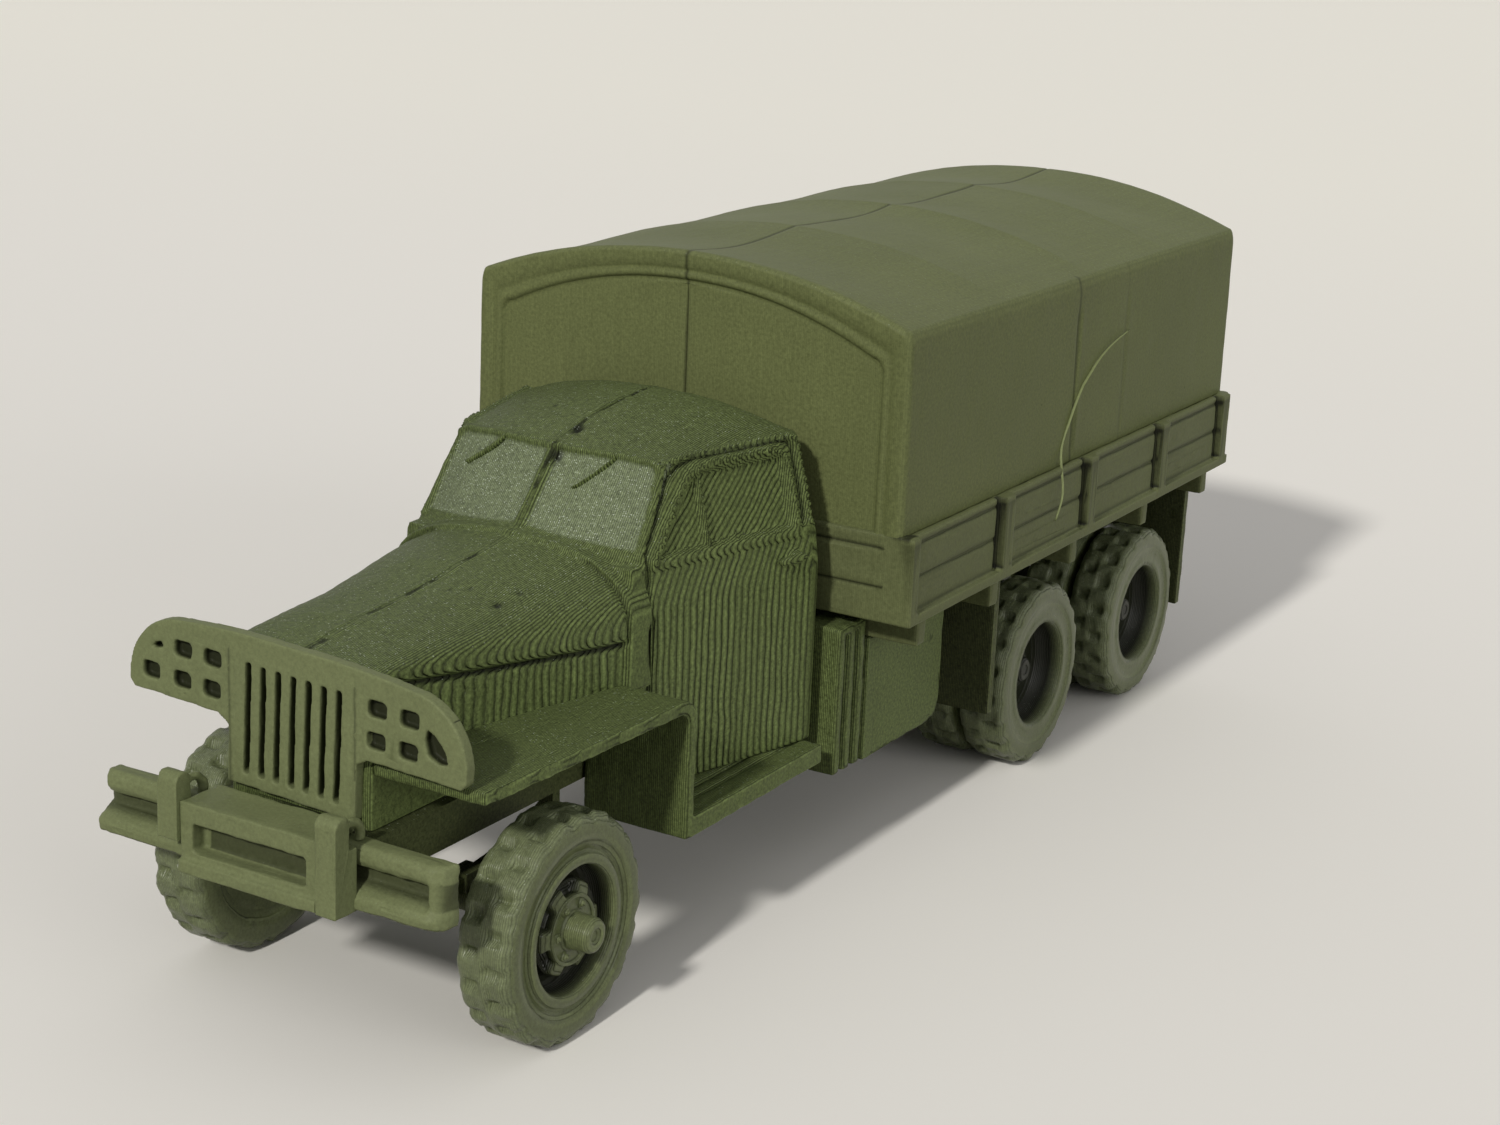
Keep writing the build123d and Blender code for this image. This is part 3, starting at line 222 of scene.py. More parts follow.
def buildLayerGroup():
    # printed layers stand across X: beads on steep walls, terraces on shallow ones
    group = bpy.data.node_groups.new("layerLines", "ShaderNodeTree")
    socketsFor(group, [
        ("Pitch", "NodeSocketFloat", 0.00015), ("Bead", "NodeSocketFloat", 0.00002),
        ("Stair", "NodeSocketFloat", 0.6), ("Wobble", "NodeSocketFloat", 0.0001),
        ("Lumps", "NodeSocketFloat", 0.00002),
    ], [("Height", "NodeSocketFloat"), ("Edge", "NodeSocketFloat"), ("Layer", "NodeSocketFloat")])

    calc = partial(mathNode, group)
    inn = node(group, "NodeGroupInput", (-1900, 0))
    out = node(group, "NodeGroupOutput", (900, 0))
    coords = node(group, "ShaderNodeTexCoord", (-1900, 400)).outputs["Object"]
    split = fedNode(group, "ShaderNodeSeparateXYZ", (-1700, 400), coords)
    drift = textureNode(group, "ShaderNodeTexNoise", (-1700, 150), coords, 420, Detail=4)
    sway = calc("MULTIPLY", (-1400, 150), calc("SUBTRACT", (-1550, 100), drift.outputs["Fac"], 0.5),
        inn.outputs["Wobble"])
    depth = calc("ADD", (-1250, 300), calc("ABSOLUTE", (-1400, 350), split.outputs["X"]), sway)
    count = calc("DIVIDE", (-1100, 300), depth, inn.outputs["Pitch"])
    frac = calc("FRACT", (-950, 350), count)
    late = calc("ADD", (-950, 200), count, 0.18)
    valley = calc("ABSOLUTE", (-650, 350), calc("SUBTRACT", (-720, 300),
        calc("MULTIPLY", (-780, 350), calc("FRACT", (-850, 300), late), 2.0), 1.0))
    uneven = node(group, "ShaderNodeTexWhiteNoise", (-700, 150), noise_dimensions="1D")
    group.links.new(calc("FLOOR", (-850, 150), late), uneven.inputs["W"])
    # how far the wall leans away from the layer plane
    geometry = node(group, "ShaderNodeNewGeometry", (-1300, -250))
    turn = fedNode(group, "ShaderNodeVectorTransform", (-1150, -250), geometry.outputs["Normal"],
        vector_type="NORMAL", convert_from="WORLD", convert_to="OBJECT")
    normalSplit = fedNode(group, "ShaderNodeSeparateXYZ", (-1000, -250), turn.outputs[0])
    facing = calc("MULTIPLY", (-850, -250), normalSplit.outputs["X"],
        calc("SIGN", (-1000, -100), split.outputs["X"]))
    slope = calc("SQRT", (-550, -300), calc("SUBTRACT", (-620, -300), 1.0,
        calc("MULTIPLY", (-700, -300), facing, facing)))
    steep = mapTo(group, (-400, -300), slope, 0.05, 0.17)
    terrace = calc("ADD", (-500, 0), calc("SUBTRACT", (-650, 0), 0.5, frac),
        mapTo(group, (-650, -100), frac, 0.74, 1.0))
    stairHeight = calc("MULTIPLY", (-200, -50), calc("MULTIPLY", (-300, 0), terrace, facing),
        calc("MULTIPLY", (-300, -150), inn.outputs["Pitch"], inn.outputs["Stair"]))
    crest = calc("SUBTRACT", (-400, 350), 1.0, calc("POWER", (-520, 350), valley, 3.0))
    beadHeight = calc("MULTIPLY", (-200, 250),
        calc("MULTIPLY_ADD", (-300, 250), uneven.outputs["Value"], 0.6, crest), inn.outputs["Bead"])
    layered = calc("MULTIPLY", (50, 100), calc("ADD", (-50, 100), stairHeight, beadHeight), steep)
    lumps = textureNode(group, "ShaderNodeTexNoise", (-400, -450), coords, 1500, Detail=4, Roughness=0.65)
    lumpHeight = calc("MULTIPLY", (-100, -400), lumps.outputs["Fac"], inn.outputs["Lumps"])
    group.links.new(calc("ADD", (250, 100), layered, lumpHeight), out.inputs["Height"])
    # painted shade in the valleys between layers
    dark = calc("MULTIPLY", (250, 350), mapTo(group, (50, 350), valley, 0.5, 1.0), steep)
    line = calc("MULTIPLY", (400, 350), dark,
        calc("MULTIPLY_ADD", (250, 200), uneven.outputs["Value"], 0.45, 0.55))
    endGrain = mapTo(group, (250, 450), slope, 0.45, 0.95, 0.0, 0.36)      # painted shade where the layer ends face out
    # painted highlight on the layer crests
    crestShine = calc("MULTIPLY", (550, 200), mapTo(group, (400, 200), valley, 0.55, 0.0, 0.0, 0.55), steep)
    group.links.new(calc("SUBTRACT", (700, 350), calc("MAXIMUM", (550, 350), line, endGrain), crestShine),
        out.inputs["Edge"])
    group.links.new(uneven.outputs["Value"], out.inputs["Layer"])
    return group


def buildTintGroup():
    # colour of the plastic with painted light on it: streaks along layers, painted shade in layer valleys,
    # pinholes and marked recesses, painted highlights on layer crests, painted glints as pale specks, and a
    # pale haze of dust and painted sheen
    group = bpy.data.node_groups.new("plasticTint", "ShaderNodeTree")
    socketsFor(group, [
        ("Base", "NodeSocketColor", (0.1, 0.115, 0.047, 1)), ("Layer", "NodeSocketFloat", 0.5),
        ("Edge", "NodeSocketFloat", 0.0), ("Line Shade", "NodeSocketFloat", 0.25),
        ("Streak", "NodeSocketFloat", 0.08), ("Specks", "NodeSocketFloat", 0.3),
        ("Dust", "NodeSocketFloat", 0.1), ("Pale", "NodeSocketColor", (0.42, 0.44, 0.34, 1)),
        ("Shade", "NodeSocketFloat", 0.0), ("Glint", "NodeSocketFloat", 0.0),
        ("Pinholes", "NodeSocketFloat", 0.5), ("Rough", "NodeSocketFloat", 0.4),
    ], [("Color", "NodeSocketColor"), ("Roughness", "NodeSocketFloat")])

    calc = partial(mathNode, group)
    inn = node(group, "NodeGroupInput", (-1400, 0))
    out = node(group, "NodeGroupOutput", (1100, 0))
    coords = node(group, "ShaderNodeTexCoord", (-1400, 400)).outputs["Object"]
    broad = textureNode(group, "ShaderNodeTexNoise", (-1100, 500), coords, 90, Detail=5).outputs["Fac"]
    grain = textureNode(group, "ShaderNodeTexNoise", (-1100, 300), coords, 4200, Detail=3,
        Roughness=0.7).outputs["Fac"]
    # painted glints: pale specks, more of them where the Glint mark is high
    cells = textureNode(group, "ShaderNodeTexVoronoi", (-1100, -100), coords, 7400)
    pick = fedNode(group, "ShaderNodeSeparateColor", (-900, -200), cells.outputs["Color"])
    chosen = calc("GREATER_THAN", (-620, -200),
        calc("MULTIPLY_ADD", (-750, -200), inn.outputs["Glint"], 0.5, pick.outputs["Red"]), 0.88)
    # painted shade inside pinholes: rare dark dots
    holes = textureNode(group, "ShaderNodeTexVoronoi", (-1100, -700), coords, 620)
    holePick = fedNode(group, "ShaderNodeSeparateColor", (-900, -800), holes.outputs["Color"])
    hole = calc("MULTIPLY", (-500, -700), mapTo(group, (-700, -700), holes.outputs["Distance"], 0.085, 0.035),
        calc("GREATER_THAN", (-700, -850), holePick.outputs["Green"], 0.90))
    geometry = node(group, "ShaderNodeNewGeometry", (-1100, -450))
    lift = fedNode(group, "ShaderNodeSeparateXYZ", (-900, -450), geometry.outputs["Normal"])
    upward = mapTo(group, (-700, -450), lift.outputs["Z"], 0.15, 0.75, 0.12)
    dot = mapTo(group, (-700, -50), cells.outputs["Distance"], 0.42, 0.1)
    varied = calc("MULTIPLY", (-520, -50), dot,
        calc("MULTIPLY_ADD", (-600, 0), calc("POWER", (-680, 50), pick.outputs["Blue"], 2.0), 0.85, 0.1))
    # upward faces catch more painted glints, as the light falls from above
    lit = calc("ADD", (-550, -350), upward, inn.outputs["Glint"])
    glintSpeck = calc("MULTIPLY", (-300, -100), calc("MULTIPLY", (-450, -100), varied, chosen),
        calc("MULTIPLY", (-450, -300), inn.outputs["Specks"], lit), clamp=True)
    shade = calc("MULTIPLY_ADD", (-700, 400), calc("SUBTRACT", (-850, 450), broad, 0.5), 0.3, 1.0)
    for place, part, power in ((-550, inn.outputs["Layer"], inn.outputs["Streak"]),
            (-400, grain, calc("MULTIPLY_ADD", (-600, 120), inn.outputs["Specks"], 2.0, 0.3))):
        swing = calc("SUBTRACT", (place - 100, 150), part, 0.5)
        shade = calc("MULTIPLY", (place, 300), shade,
            calc("MULTIPLY_ADD", (place - 60, 200), swing, power, 1.0))
    # painted shade: layer valleys and layer ends from Edge (painted highlight where Edge drops below zero),
    # marked recesses from Shade, pinholes
    for place, part, power in ((-250, inn.outputs["Edge"], inn.outputs["Line Shade"]),
            (-100, inn.outputs["Shade"], 0.93), (50, hole, inn.outputs["Pinholes"])):
        shade = calc("MULTIPLY", (place, 300), shade,
            calc("SUBTRACT", (place - 40, 150), 1.0, calc("MULTIPLY", (place - 80, 100), part, power)))
    toned = node(group, "ShaderNodeVectorMath", (250, 300), operation="SCALE")
    group.links.new(inn.outputs["Base"], toned.inputs[0])
    group.links.new(shade, toned.inputs["Scale"])
    # pale haze: dust settled on upward faces, plus painted sheen where the Glint mark is high
    glintTwice = calc("MULTIPLY", (-200, -200), inn.outputs["Glint"], inn.outputs["Glint"])
    dustAndSheen = calc("ADD", (0, -50), calc("MULTIPLY", (-120, -50), upward, inn.outputs["Dust"]),
        calc("MULTIPLY", (-120, -150), glintTwice, 0.2))
    haze = calc("MULTIPLY", (150, -50), dustAndSheen, calc("MULTIPLY_ADD", (0, -200), grain, 1.6, 0.0), clamp=True)
    colour = toned.outputs[0]
    for place, amount in ((450, haze), (650, glintSpeck)):
        blend = node(group, "ShaderNodeMix", (place, 200), data_type="RGBA")
        group.links.new(amount, blend.inputs["Factor"])
        group.links.new(colour, blend.inputs["A"])
        group.links.new(inn.outputs["Pale"], blend.inputs["B"])
        colour = blend.outputs["Result"]
    group.links.new(colour, out.inputs["Color"])
    gloss = calc("MULTIPLY_ADD", (450, -200), grain, 0.22, inn.outputs["Rough"])
    group.links.new(calc("MULTIPLY_ADD", (650, -200), glintSpeck, -0.12, gloss), out.inputs["Roughness"])
    return group


layerGroup = buildLayerGroup()
tintGroup = buildTintGroup()


def printedPlastic(name, base, pitch=0.15, bead=0.025, stair=0.85, wobble=0.07, lumps=0.02, paintedLineShade=0.92,
        streak=0.22, specks=1.0, dust=0.01, pale=(0.47, 0.53, 0.43), pinholes=0.5, rough=0.42,
        sheen=0.14):
    # lengths in millimetres
    mat = bpy.data.materials.new(name)
    mat.use_nodes = True
    tree = mat.node_tree
    shader = tree.nodes["Principled BSDF"]
    shader.inputs["Specular IOR Level"].default_value = sheen
    shader.inputs["IOR"].default_value = 1.46
    lines = node(tree, "ShaderNodeGroup", (-900, -200))
    lines.node_tree = layerGroup
    for key, value in (("Pitch", pitch), ("Bead", bead), ("Wobble", wobble), ("Lumps", lumps)):
        lines.inputs[key].default_value = value * mm
    lines.inputs["Stair"].default_value = stair
    tint = node(tree, "ShaderNodeGroup", (-600, 200))
    tint.node_tree = tintGroup
    tint.inputs["Base"].default_value = (*base, 1)
    tint.inputs["Pale"].default_value = (*pale, 1)
    for key, value in (("Line Shade", paintedLineShade), ("Streak", streak), ("Specks", specks), ("Dust", dust),
            ("Pinholes", pinholes), ("Rough", rough)):
        tint.inputs[key].default_value = value
    # Shade and Glint read the painted shade and painted glint marks that the pieces carry
    for key, mark in (("Shade", "paintedShade"), ("Glint", "paintedGlint")):
        mask = node(tree, "ShaderNodeAttribute", (-900, 300), attribute_name=mark)
        tree.links.new(mask.outputs["Fac"], tint.inputs[key])
    tree.links.new(lines.outputs["Edge"], tint.inputs["Edge"])
    tree.links.new(lines.outputs["Layer"], tint.inputs["Layer"])
    bump = node(tree, "ShaderNodeBump", (-300, -200))
    bump.inputs["Strength"].default_value = 1.0
    bump.inputs["Distance"].default_value = 1.0
    tree.links.new(lines.outputs["Height"], bump.inputs["Height"])
    tree.links.new(tint.outputs["Color"], shader.inputs["Base Color"])
    tree.links.new(tint.outputs["Roughness"], shader.inputs["Roughness"])
    tree.links.new(bump.outputs["Normal"], shader.inputs["Normal"])
    return mat


def addRipple(mat, height=0.022):
    # fine upright ripples on the cover's side, strongest near its front corner
    tree = mat.node_tree
    bump, lines = tree.nodes["Bump"], tree.nodes["Group"]
    coords = node(tree, "ShaderNodeTexCoord", (-1500, -500)).outputs["Object"]
    squeeze = node(tree, "ShaderNodeVectorMath", (-1300, -500), operation="MULTIPLY")
    squeeze.inputs[1].default_value = (0.3, 1.0, 0.16)
    tree.links.new(coords, squeeze.inputs[0])
    ripples = textureNode(tree, "ShaderNodeTexNoise", (-1100, -500), squeeze.outputs[0], 2700, Detail=2,
        Distortion=0.6)
    split = fedNode(tree, "ShaderNodeSeparateXYZ", (-1300, -700), coords)
    near = mapTo(tree, (-1100, -700), split.outputs["Y"], 0.018, -0.006, 0.15, 1.0)
    raised = mathNode(tree, "MULTIPLY", (-800, -600),
        mathNode(tree, "MULTIPLY", (-900, -600), ripples.outputs["Fac"], near), height * mm)
    tree.links.new(mathNode(tree, "ADD", (-600, -400), lines.outputs["Height"], raised), bump.inputs["Height"])


plastic = {
    "body": printedPlastic("bodyPlastic", (0.116, 0.150, 0.052)),
    "cover": printedPlastic("coverPlastic", (0.128, 0.147, 0.058), bead=0.006, stair=0.0, paintedLineShade=0.12,
        streak=0.08, specks=0.4, dust=0.02),
    "bed": printedPlastic("bedPlastic", (0.120, 0.136, 0.060), bead=0.006, stair=0.3, paintedLineShade=0.15,
        streak=0.08, specks=0.3),
    "front": printedPlastic("frontPlastic", (0.160, 0.184, 0.088), bead=0.0, stair=0.0, paintedLineShade=0.0,
        streak=0.0, specks=0.2, dust=0.0, lumps=0.014),
    # a darker copy of the green, painted shade for the parts under the truck
    "chassis": printedPlastic("chassisShadedPlastic", (0.070, 0.083, 0.033)),
    "wheel": printedPlastic("wheelPlastic", (0.130, 0.154, 0.068), stair=0.35, paintedLineShade=0.3, specks=0.45,
        rough=0.22, sheen=0.32),
    "hair": printedPlastic("hairPlastic", (0.19, 0.22, 0.10), bead=0.0, stair=0.0, paintedLineShade=0.0, specks=0.0),
}
addRipple(plastic["cover"])
print("plastics mixed")

# every solid from the frame gets its plastic; those not listed take the chassis plastic, darkened with painted
# shade
nodePlastic = {"cab": "body", "fender": "body", "cover": "cover", "bed": "body", "wheel": "wheel"}
for nodeName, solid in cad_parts.items():
    kind = nodePlastic.get(nodeName.split("_")[0], "chassis")
    if not solid.data.materials:
        solid.data.materials.append(plastic[kind])
    for index in range(len(solid.data.materials)):
        solid.data.materials[index] = plastic[kind]


# making and softening meshes
def rawMesh(name, verts, faces):
    mesh = bpy.data.meshes.new(name)
    mesh.from_pydata(np.asarray(verts, float).tolist(), [], [tuple(int(i) for i in f) for f in faces])
    mesh.validate()
    return mesh


def meshArrays(mesh):
    co = np.empty(len(mesh.vertices) * 3)
    mesh.vertices.foreach_get("co", co)
    normals = np.empty(len(mesh.vertices) * 3)
    mesh.vertex_normals.foreach_get("vector", normals)
    return co.reshape(-1, 3), normals.reshape(-1, 3)


def readSolid(nodeName):
    # a frame solid's surface in millimetres, as one closed form
    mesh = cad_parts[nodeName].data
    co, _ = meshArrays(mesh)
    return co / mm, [tuple(p.vertices) for p in mesh.polygons]


def weld(mesh, distance, outward=False):
    # points closer than the distance become one
    work = bmesh.new()
    work.from_mesh(mesh)
    bmesh.ops.remove_doubles(work, verts=work.verts, dist=distance)
    if outward:
        bmesh.ops.recalc_face_normals(work, faces=work.faces)
    work.to_mesh(mesh)
    work.free()


def meltForms(forms, voxel, passes=2, keep=1.0):
    # closed forms in millimetres run together into one skin, as melted plastic does
    verts, faces, start = [], [], 0
    for v, f in forms:
        verts.append(np.asarray(v, float))
        faces += [tuple(int(i) + start for i in face) for face in f]
        start += len(v)
    mesh = rawMesh("melting", np.concatenate(verts), faces)
    weld(mesh, 0.0008)
    holder = bpy.data.objects.new("melting", mesh)
    bpy.context.scene.collection.objects.link(holder)
    remesh = holder.modifiers.new("voxels", "REMESH")
    remesh.mode = "VOXEL"
    remesh.voxel_size = voxel
    relax = holder.modifiers.new("relax", "SMOOTH")
    relax.factor = 0.5
    relax.iterations = passes
    if keep < 1:
        thin = holder.modifiers.new("thin", "DECIMATE")
        thin.ratio = keep
    made = bpy.data.meshes.new_from_object(holder.evaluated_get(bpy.context.evaluated_depsgraph_get()))
    bpy.data.objects.remove(holder)
    bpy.data.meshes.remove(mesh)
    return made


def printNoise(points, size, depth, seed):
    # slow unevenness of a printed wall, in millimetres
    shift = Vector((seed * 3.1, seed * 1.7, seed * 2.3))
    return np.array([noise.noise(Vector(p) / size + shift) for p in points]) * depth


def setPoints(mesh, points):
    mesh.vertices.foreach_set("co", np.asarray(points, float).ravel())
    mesh.update()


def addPiece(name, mesh, plasticName, body, *nodes, marks=None):
    # mesh is in millimetres; the piece stands for the named solids and moves with its body
    # marks hold painted shade and painted glints, one value per point
    for mark, values in (marks or {}).items():
        layer = mesh.attributes.new(mark, "FLOAT", "POINT")
        layer.data.foreach_set("value", np.clip(values, 0, 1).astype(np.float32))
    co, _ = meshArrays(mesh)
    setPoints(mesh, co * mm)
    mesh.name = name
    mesh.materials.clear()
    mesh.materials.append(plastic[plasticName])
    mesh.polygons.foreach_set("use_smooth", np.ones(len(mesh.polygons), bool))
    piece = bpy.data.objects.new(name, mesh)
    bpy.context.scene.collection.objects.link(piece)
    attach(piece, body)
    if nodes:
        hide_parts(*nodes)
    print("piece", name, sum(len(p.vertices) - 2 for p in mesh.polygons), "triangles")
    return piece


def loftRows(rows, closedRow=False):
    # rows of points with equal counts, joined row to row, with both ends capped
    count, length = len(rows), len(rows[0])
    verts = np.concatenate(rows)
    faces = []
    span = length if closedRow else length - 1
    for r in range(count - 1):
        for k in range(span):
            a, b = r * length + k, r * length + (k + 1) % length
            faces.append((a, b, b + length, a + length))
    if closedRow:
        faces.append(tuple(reversed(range(length))))
        faces.append(tuple(range((count - 1) * length, count * length)))
    return verts, faces


def smoothStep(low, high, value):
    t = np.clip((value - low) / (high - low), 0, 1)
    return t * t * (3 - 2 * t)


def distanceTo(path, points):
    # each point's distance from a run of straight stretches, and how far along the run it lies
    best = np.full(len(points), 1e9)
    run = np.zeros(len(points))
    path = np.asarray(path, float)
    travelled = 0.0
    for a, b in zip(path[:-1], path[1:]):
        d = b - a
        t = np.clip(((points - a) @ d) / max(d @ d, 1e-12), 0, 1)
        away = np.linalg.norm(points - (a + t[:, None] * d), axis=1)
        nearer = away < best
        run[nearer] = travelled + t[nearer] * np.linalg.norm(d)
        best = np.minimum(best, away)
        travelled += np.linalg.norm(d)
    return best, run


def curvePath(points, steps=8):
    # a smooth run through the points
    pts = np.asarray(points, float)
    ends = np.vstack([2 * pts[0] - pts[1], pts, 2 * pts[-1] - pts[-2]])
    out = []
    for i in range(1, len(ends) - 2):
        p0, p1, p2, p3 = ends[i - 1:i + 3]
        for t in np.linspace(0, 1, steps, endpoint=False):
            out.append(0.5 * (2 * p1 + (p2 - p0) * t + (2 * p0 - 5 * p1 + 4 * p2 - p3) * t * t
                + (3 * p1 - p0 - 3 * p2 + p3) * t ** 3))
    out.append(pts[-1])
    return np.array(out)


def interpolate(table, value, column):
    rows = np.asarray(table, float)
    return np.interp(value, rows[:, 0], rows[:, column])


# wheels
tyre = {
    "radius": 7.75, "width": 4.1, "lugs": 20, "lugDepth": 0.55, "pitShare": 0.42, "aroundSteps": 172,
    "axleZ": 7.75, "blob": 0.17, "fineBlob": 0.06, "dishDark": 0.98, "treadShine": 0.6, "boltRing": 1.78,
}
wheelTable = (
    # node, side, station of the axle, outer face, tyres side by side
    ("wheel_front_left", 1, 0.0, 14.6, 1), ("wheel_front_right", -1, 0.0, 14.6, 1),
    ("wheel_rear_1_left", 1, 65.4, 16.75, 2), ("wheel_rear_1_right", -1, 65.4, 16.75, 2),
    ("wheel_rear_2_left", 1, 86.8, 16.75, 2), ("wheel_rear_2_right", -1, 86.8, 16.75, 2),
)
twinGap = 0.5


def tyreOutline(start, spec):
    # one tyre's outside from its outer bead over the tread to its inner bead: x, r, place across the tread
    w, top = spec["width"], spec["radius"]
    rows = [(w, 6.1, -1), (w, 6.5, -1), (w, 6.85, -0.6), (w - 0.03, 7.08, -0.3), (w - 0.12, 7.32, -0.1)]
    for across in np.linspace(0, 1, 25):
        rows.append((w - 0.25 - across * (w - 0.5), top - 0.22 * abs(2 * across - 1) ** 6, across))
    rows += [(0.12, 7.32, 1.1), (0.03, 7.08, 1.3), (0, 6.85, 1.6), (0, 6.3, 2), (0, 5.75, 2)]
    return [(x + start, r, a) for x, r, a in rows]


def closeRows(rows, step=0.13):
    # rows put between those that stand far apart
    out = [rows[0]]
    for a, b in zip(rows[:-1], rows[1:]):
        parts = max(1, math.ceil(math.hypot(b[0] - a[0], b[1] - a[1]) / step))
        out += [(a[0] + (b[0] - a[0]) * k / parts, a[1] + (b[1] - a[1]) * k / parts)
            for k in range(1, parts + 1)]
    return out


# outlines as steps from the outer face and radii: hub, then rim, then the back from the bead to the bore
frontHub = (
    (1.22, 0.0), (1.25, 0.3), (1.36, 0.46), (1.49, 0.62), (1.5, 0.85), (1.42, 1.08), (1.2, 1.18),
    (0.1, 1.22), (-0.3, 1.26), (-0.38, 1.4), (-0.4, 2.1), (-0.26, 2.18), (-0.24, 2.34), (-0.42, 2.44),
    (-0.5, 2.8), (-0.62, 3.1), (-0.95, 3.22), (-1.9, 3.26), (-2.15, 3.45), (-2.15, 3.9), (-2.0, 4.2),
)
rearHub = (
    (-1.55, 0.0), (-1.5, 0.35), (-1.4, 0.5), (-1.4, 0.85), (-1.6, 1.05), (-2.0, 1.1), (-2.1, 1.25),
    (-2.1, 1.6), (-2.3, 1.8), (-2.6, 1.9), (-2.7, 2.2), (-2.75, 3.0), (-2.7, 3.8), (-2.5, 4.2),
)
frontRim = (
    (-1.2, 4.28), (-0.4, 4.32), (-0.1, 4.38), (-0.02, 4.48), (-0.02, 5.02), (-0.1, 5.08), (-0.34, 5.12),
    (-0.36, 5.34), (-0.26, 5.38), (-0.24, 5.58), (-0.16, 5.62), (-0.14, 5.82), (-0.07, 5.86), (-0.05, 6.04),
)
rearRim = (
    (-1.2, 4.28), (-0.4, 4.32), (-0.12, 4.45), (-0.08, 4.9), (-0.14, 5.15), (-0.1, 5.6), (-0.05, 6.04),
)
wheelBack = (
    (0.12, 5.55), (0.22, 5.3), (0.28, 4.9), (0.24, 4.5), (0.3, 4.0), (0.3, 3.2), (0.26, 3.1), (0.3, 3.0),
    (0.3, 2.2), (0.24, 2.1), (0.28, 2.0), (0.28, 1.3), (0.3, 0.97), (2.45, 0.96), (2.5, 0.0),
)


def wheelOutline(tyres, spec):
    w = spec["width"]
    full = tyres * w + (tyres - 1) * twinGap
    hub, rim = (frontHub, frontRim) if tyres == 1 else (rearHub, rearRim)
    hub, rim = ([(full + step, r) for step, r in outline] for outline in (hub, rim))
    rows = [(x, r, -2) for x, r in closeRows(hub) + rim]
    for index in reversed(range(tyres)):
        rows += tyreOutline(index * (w + twinGap), spec)
        if index:
            gapEnd = index * (w + twinGap)
            rows += [(gapEnd, 5.5, 2), (gapEnd - twinGap / 2, 5.3, 2), (gapEnd - twinGap, 5.5, 2)]
    rows += [(x, r, 3) for x, r in wheelBack]
    return np.array(rows), full


def treadDrop(across, turn, spec):
    # how far the rubber blocks fall away at one place of the tread
    lugs = spec["lugs"]
    drop = np.zeros_like(turn)
    for rowStart, rowEnd, shift in ((0.13, 0.43, 0.0), (0.57, 0.87, 0.5)):
        rowMask = (smoothStep(rowStart - 0.05, rowStart + 0.05, across)
            * (1 - smoothStep(rowEnd - 0.05, rowEnd + 0.05, across)))
        phase = (turn * lugs / (2 * math.pi) + shift) % 1.0
        pit = smoothStep(0.0, 0.13, phase) * (1 - smoothStep(spec["pitShare"] - 0.13, spec["pitShare"], phase))
        drop = np.maximum(drop, rowMask * pit)
    # the shoulders are notched between the blocks
    for edge, shift in ((0.0, 0.0), (1.0, 0.5)):
        phase = (turn * lugs / (2 * math.pi) + shift) % 1.0
        pit = (smoothStep(0.02, 0.16, phase)
            * (1 - smoothStep(spec["pitShare"] - 0.1, spec["pitShare"] + 0.05, phase)))
        edgeMask = 1 - smoothStep(0.10, 0.24, np.abs(across - edge))
        drop = np.maximum(drop, edgeMask * pit * 0.34)
    return drop * spec["lugDepth"]


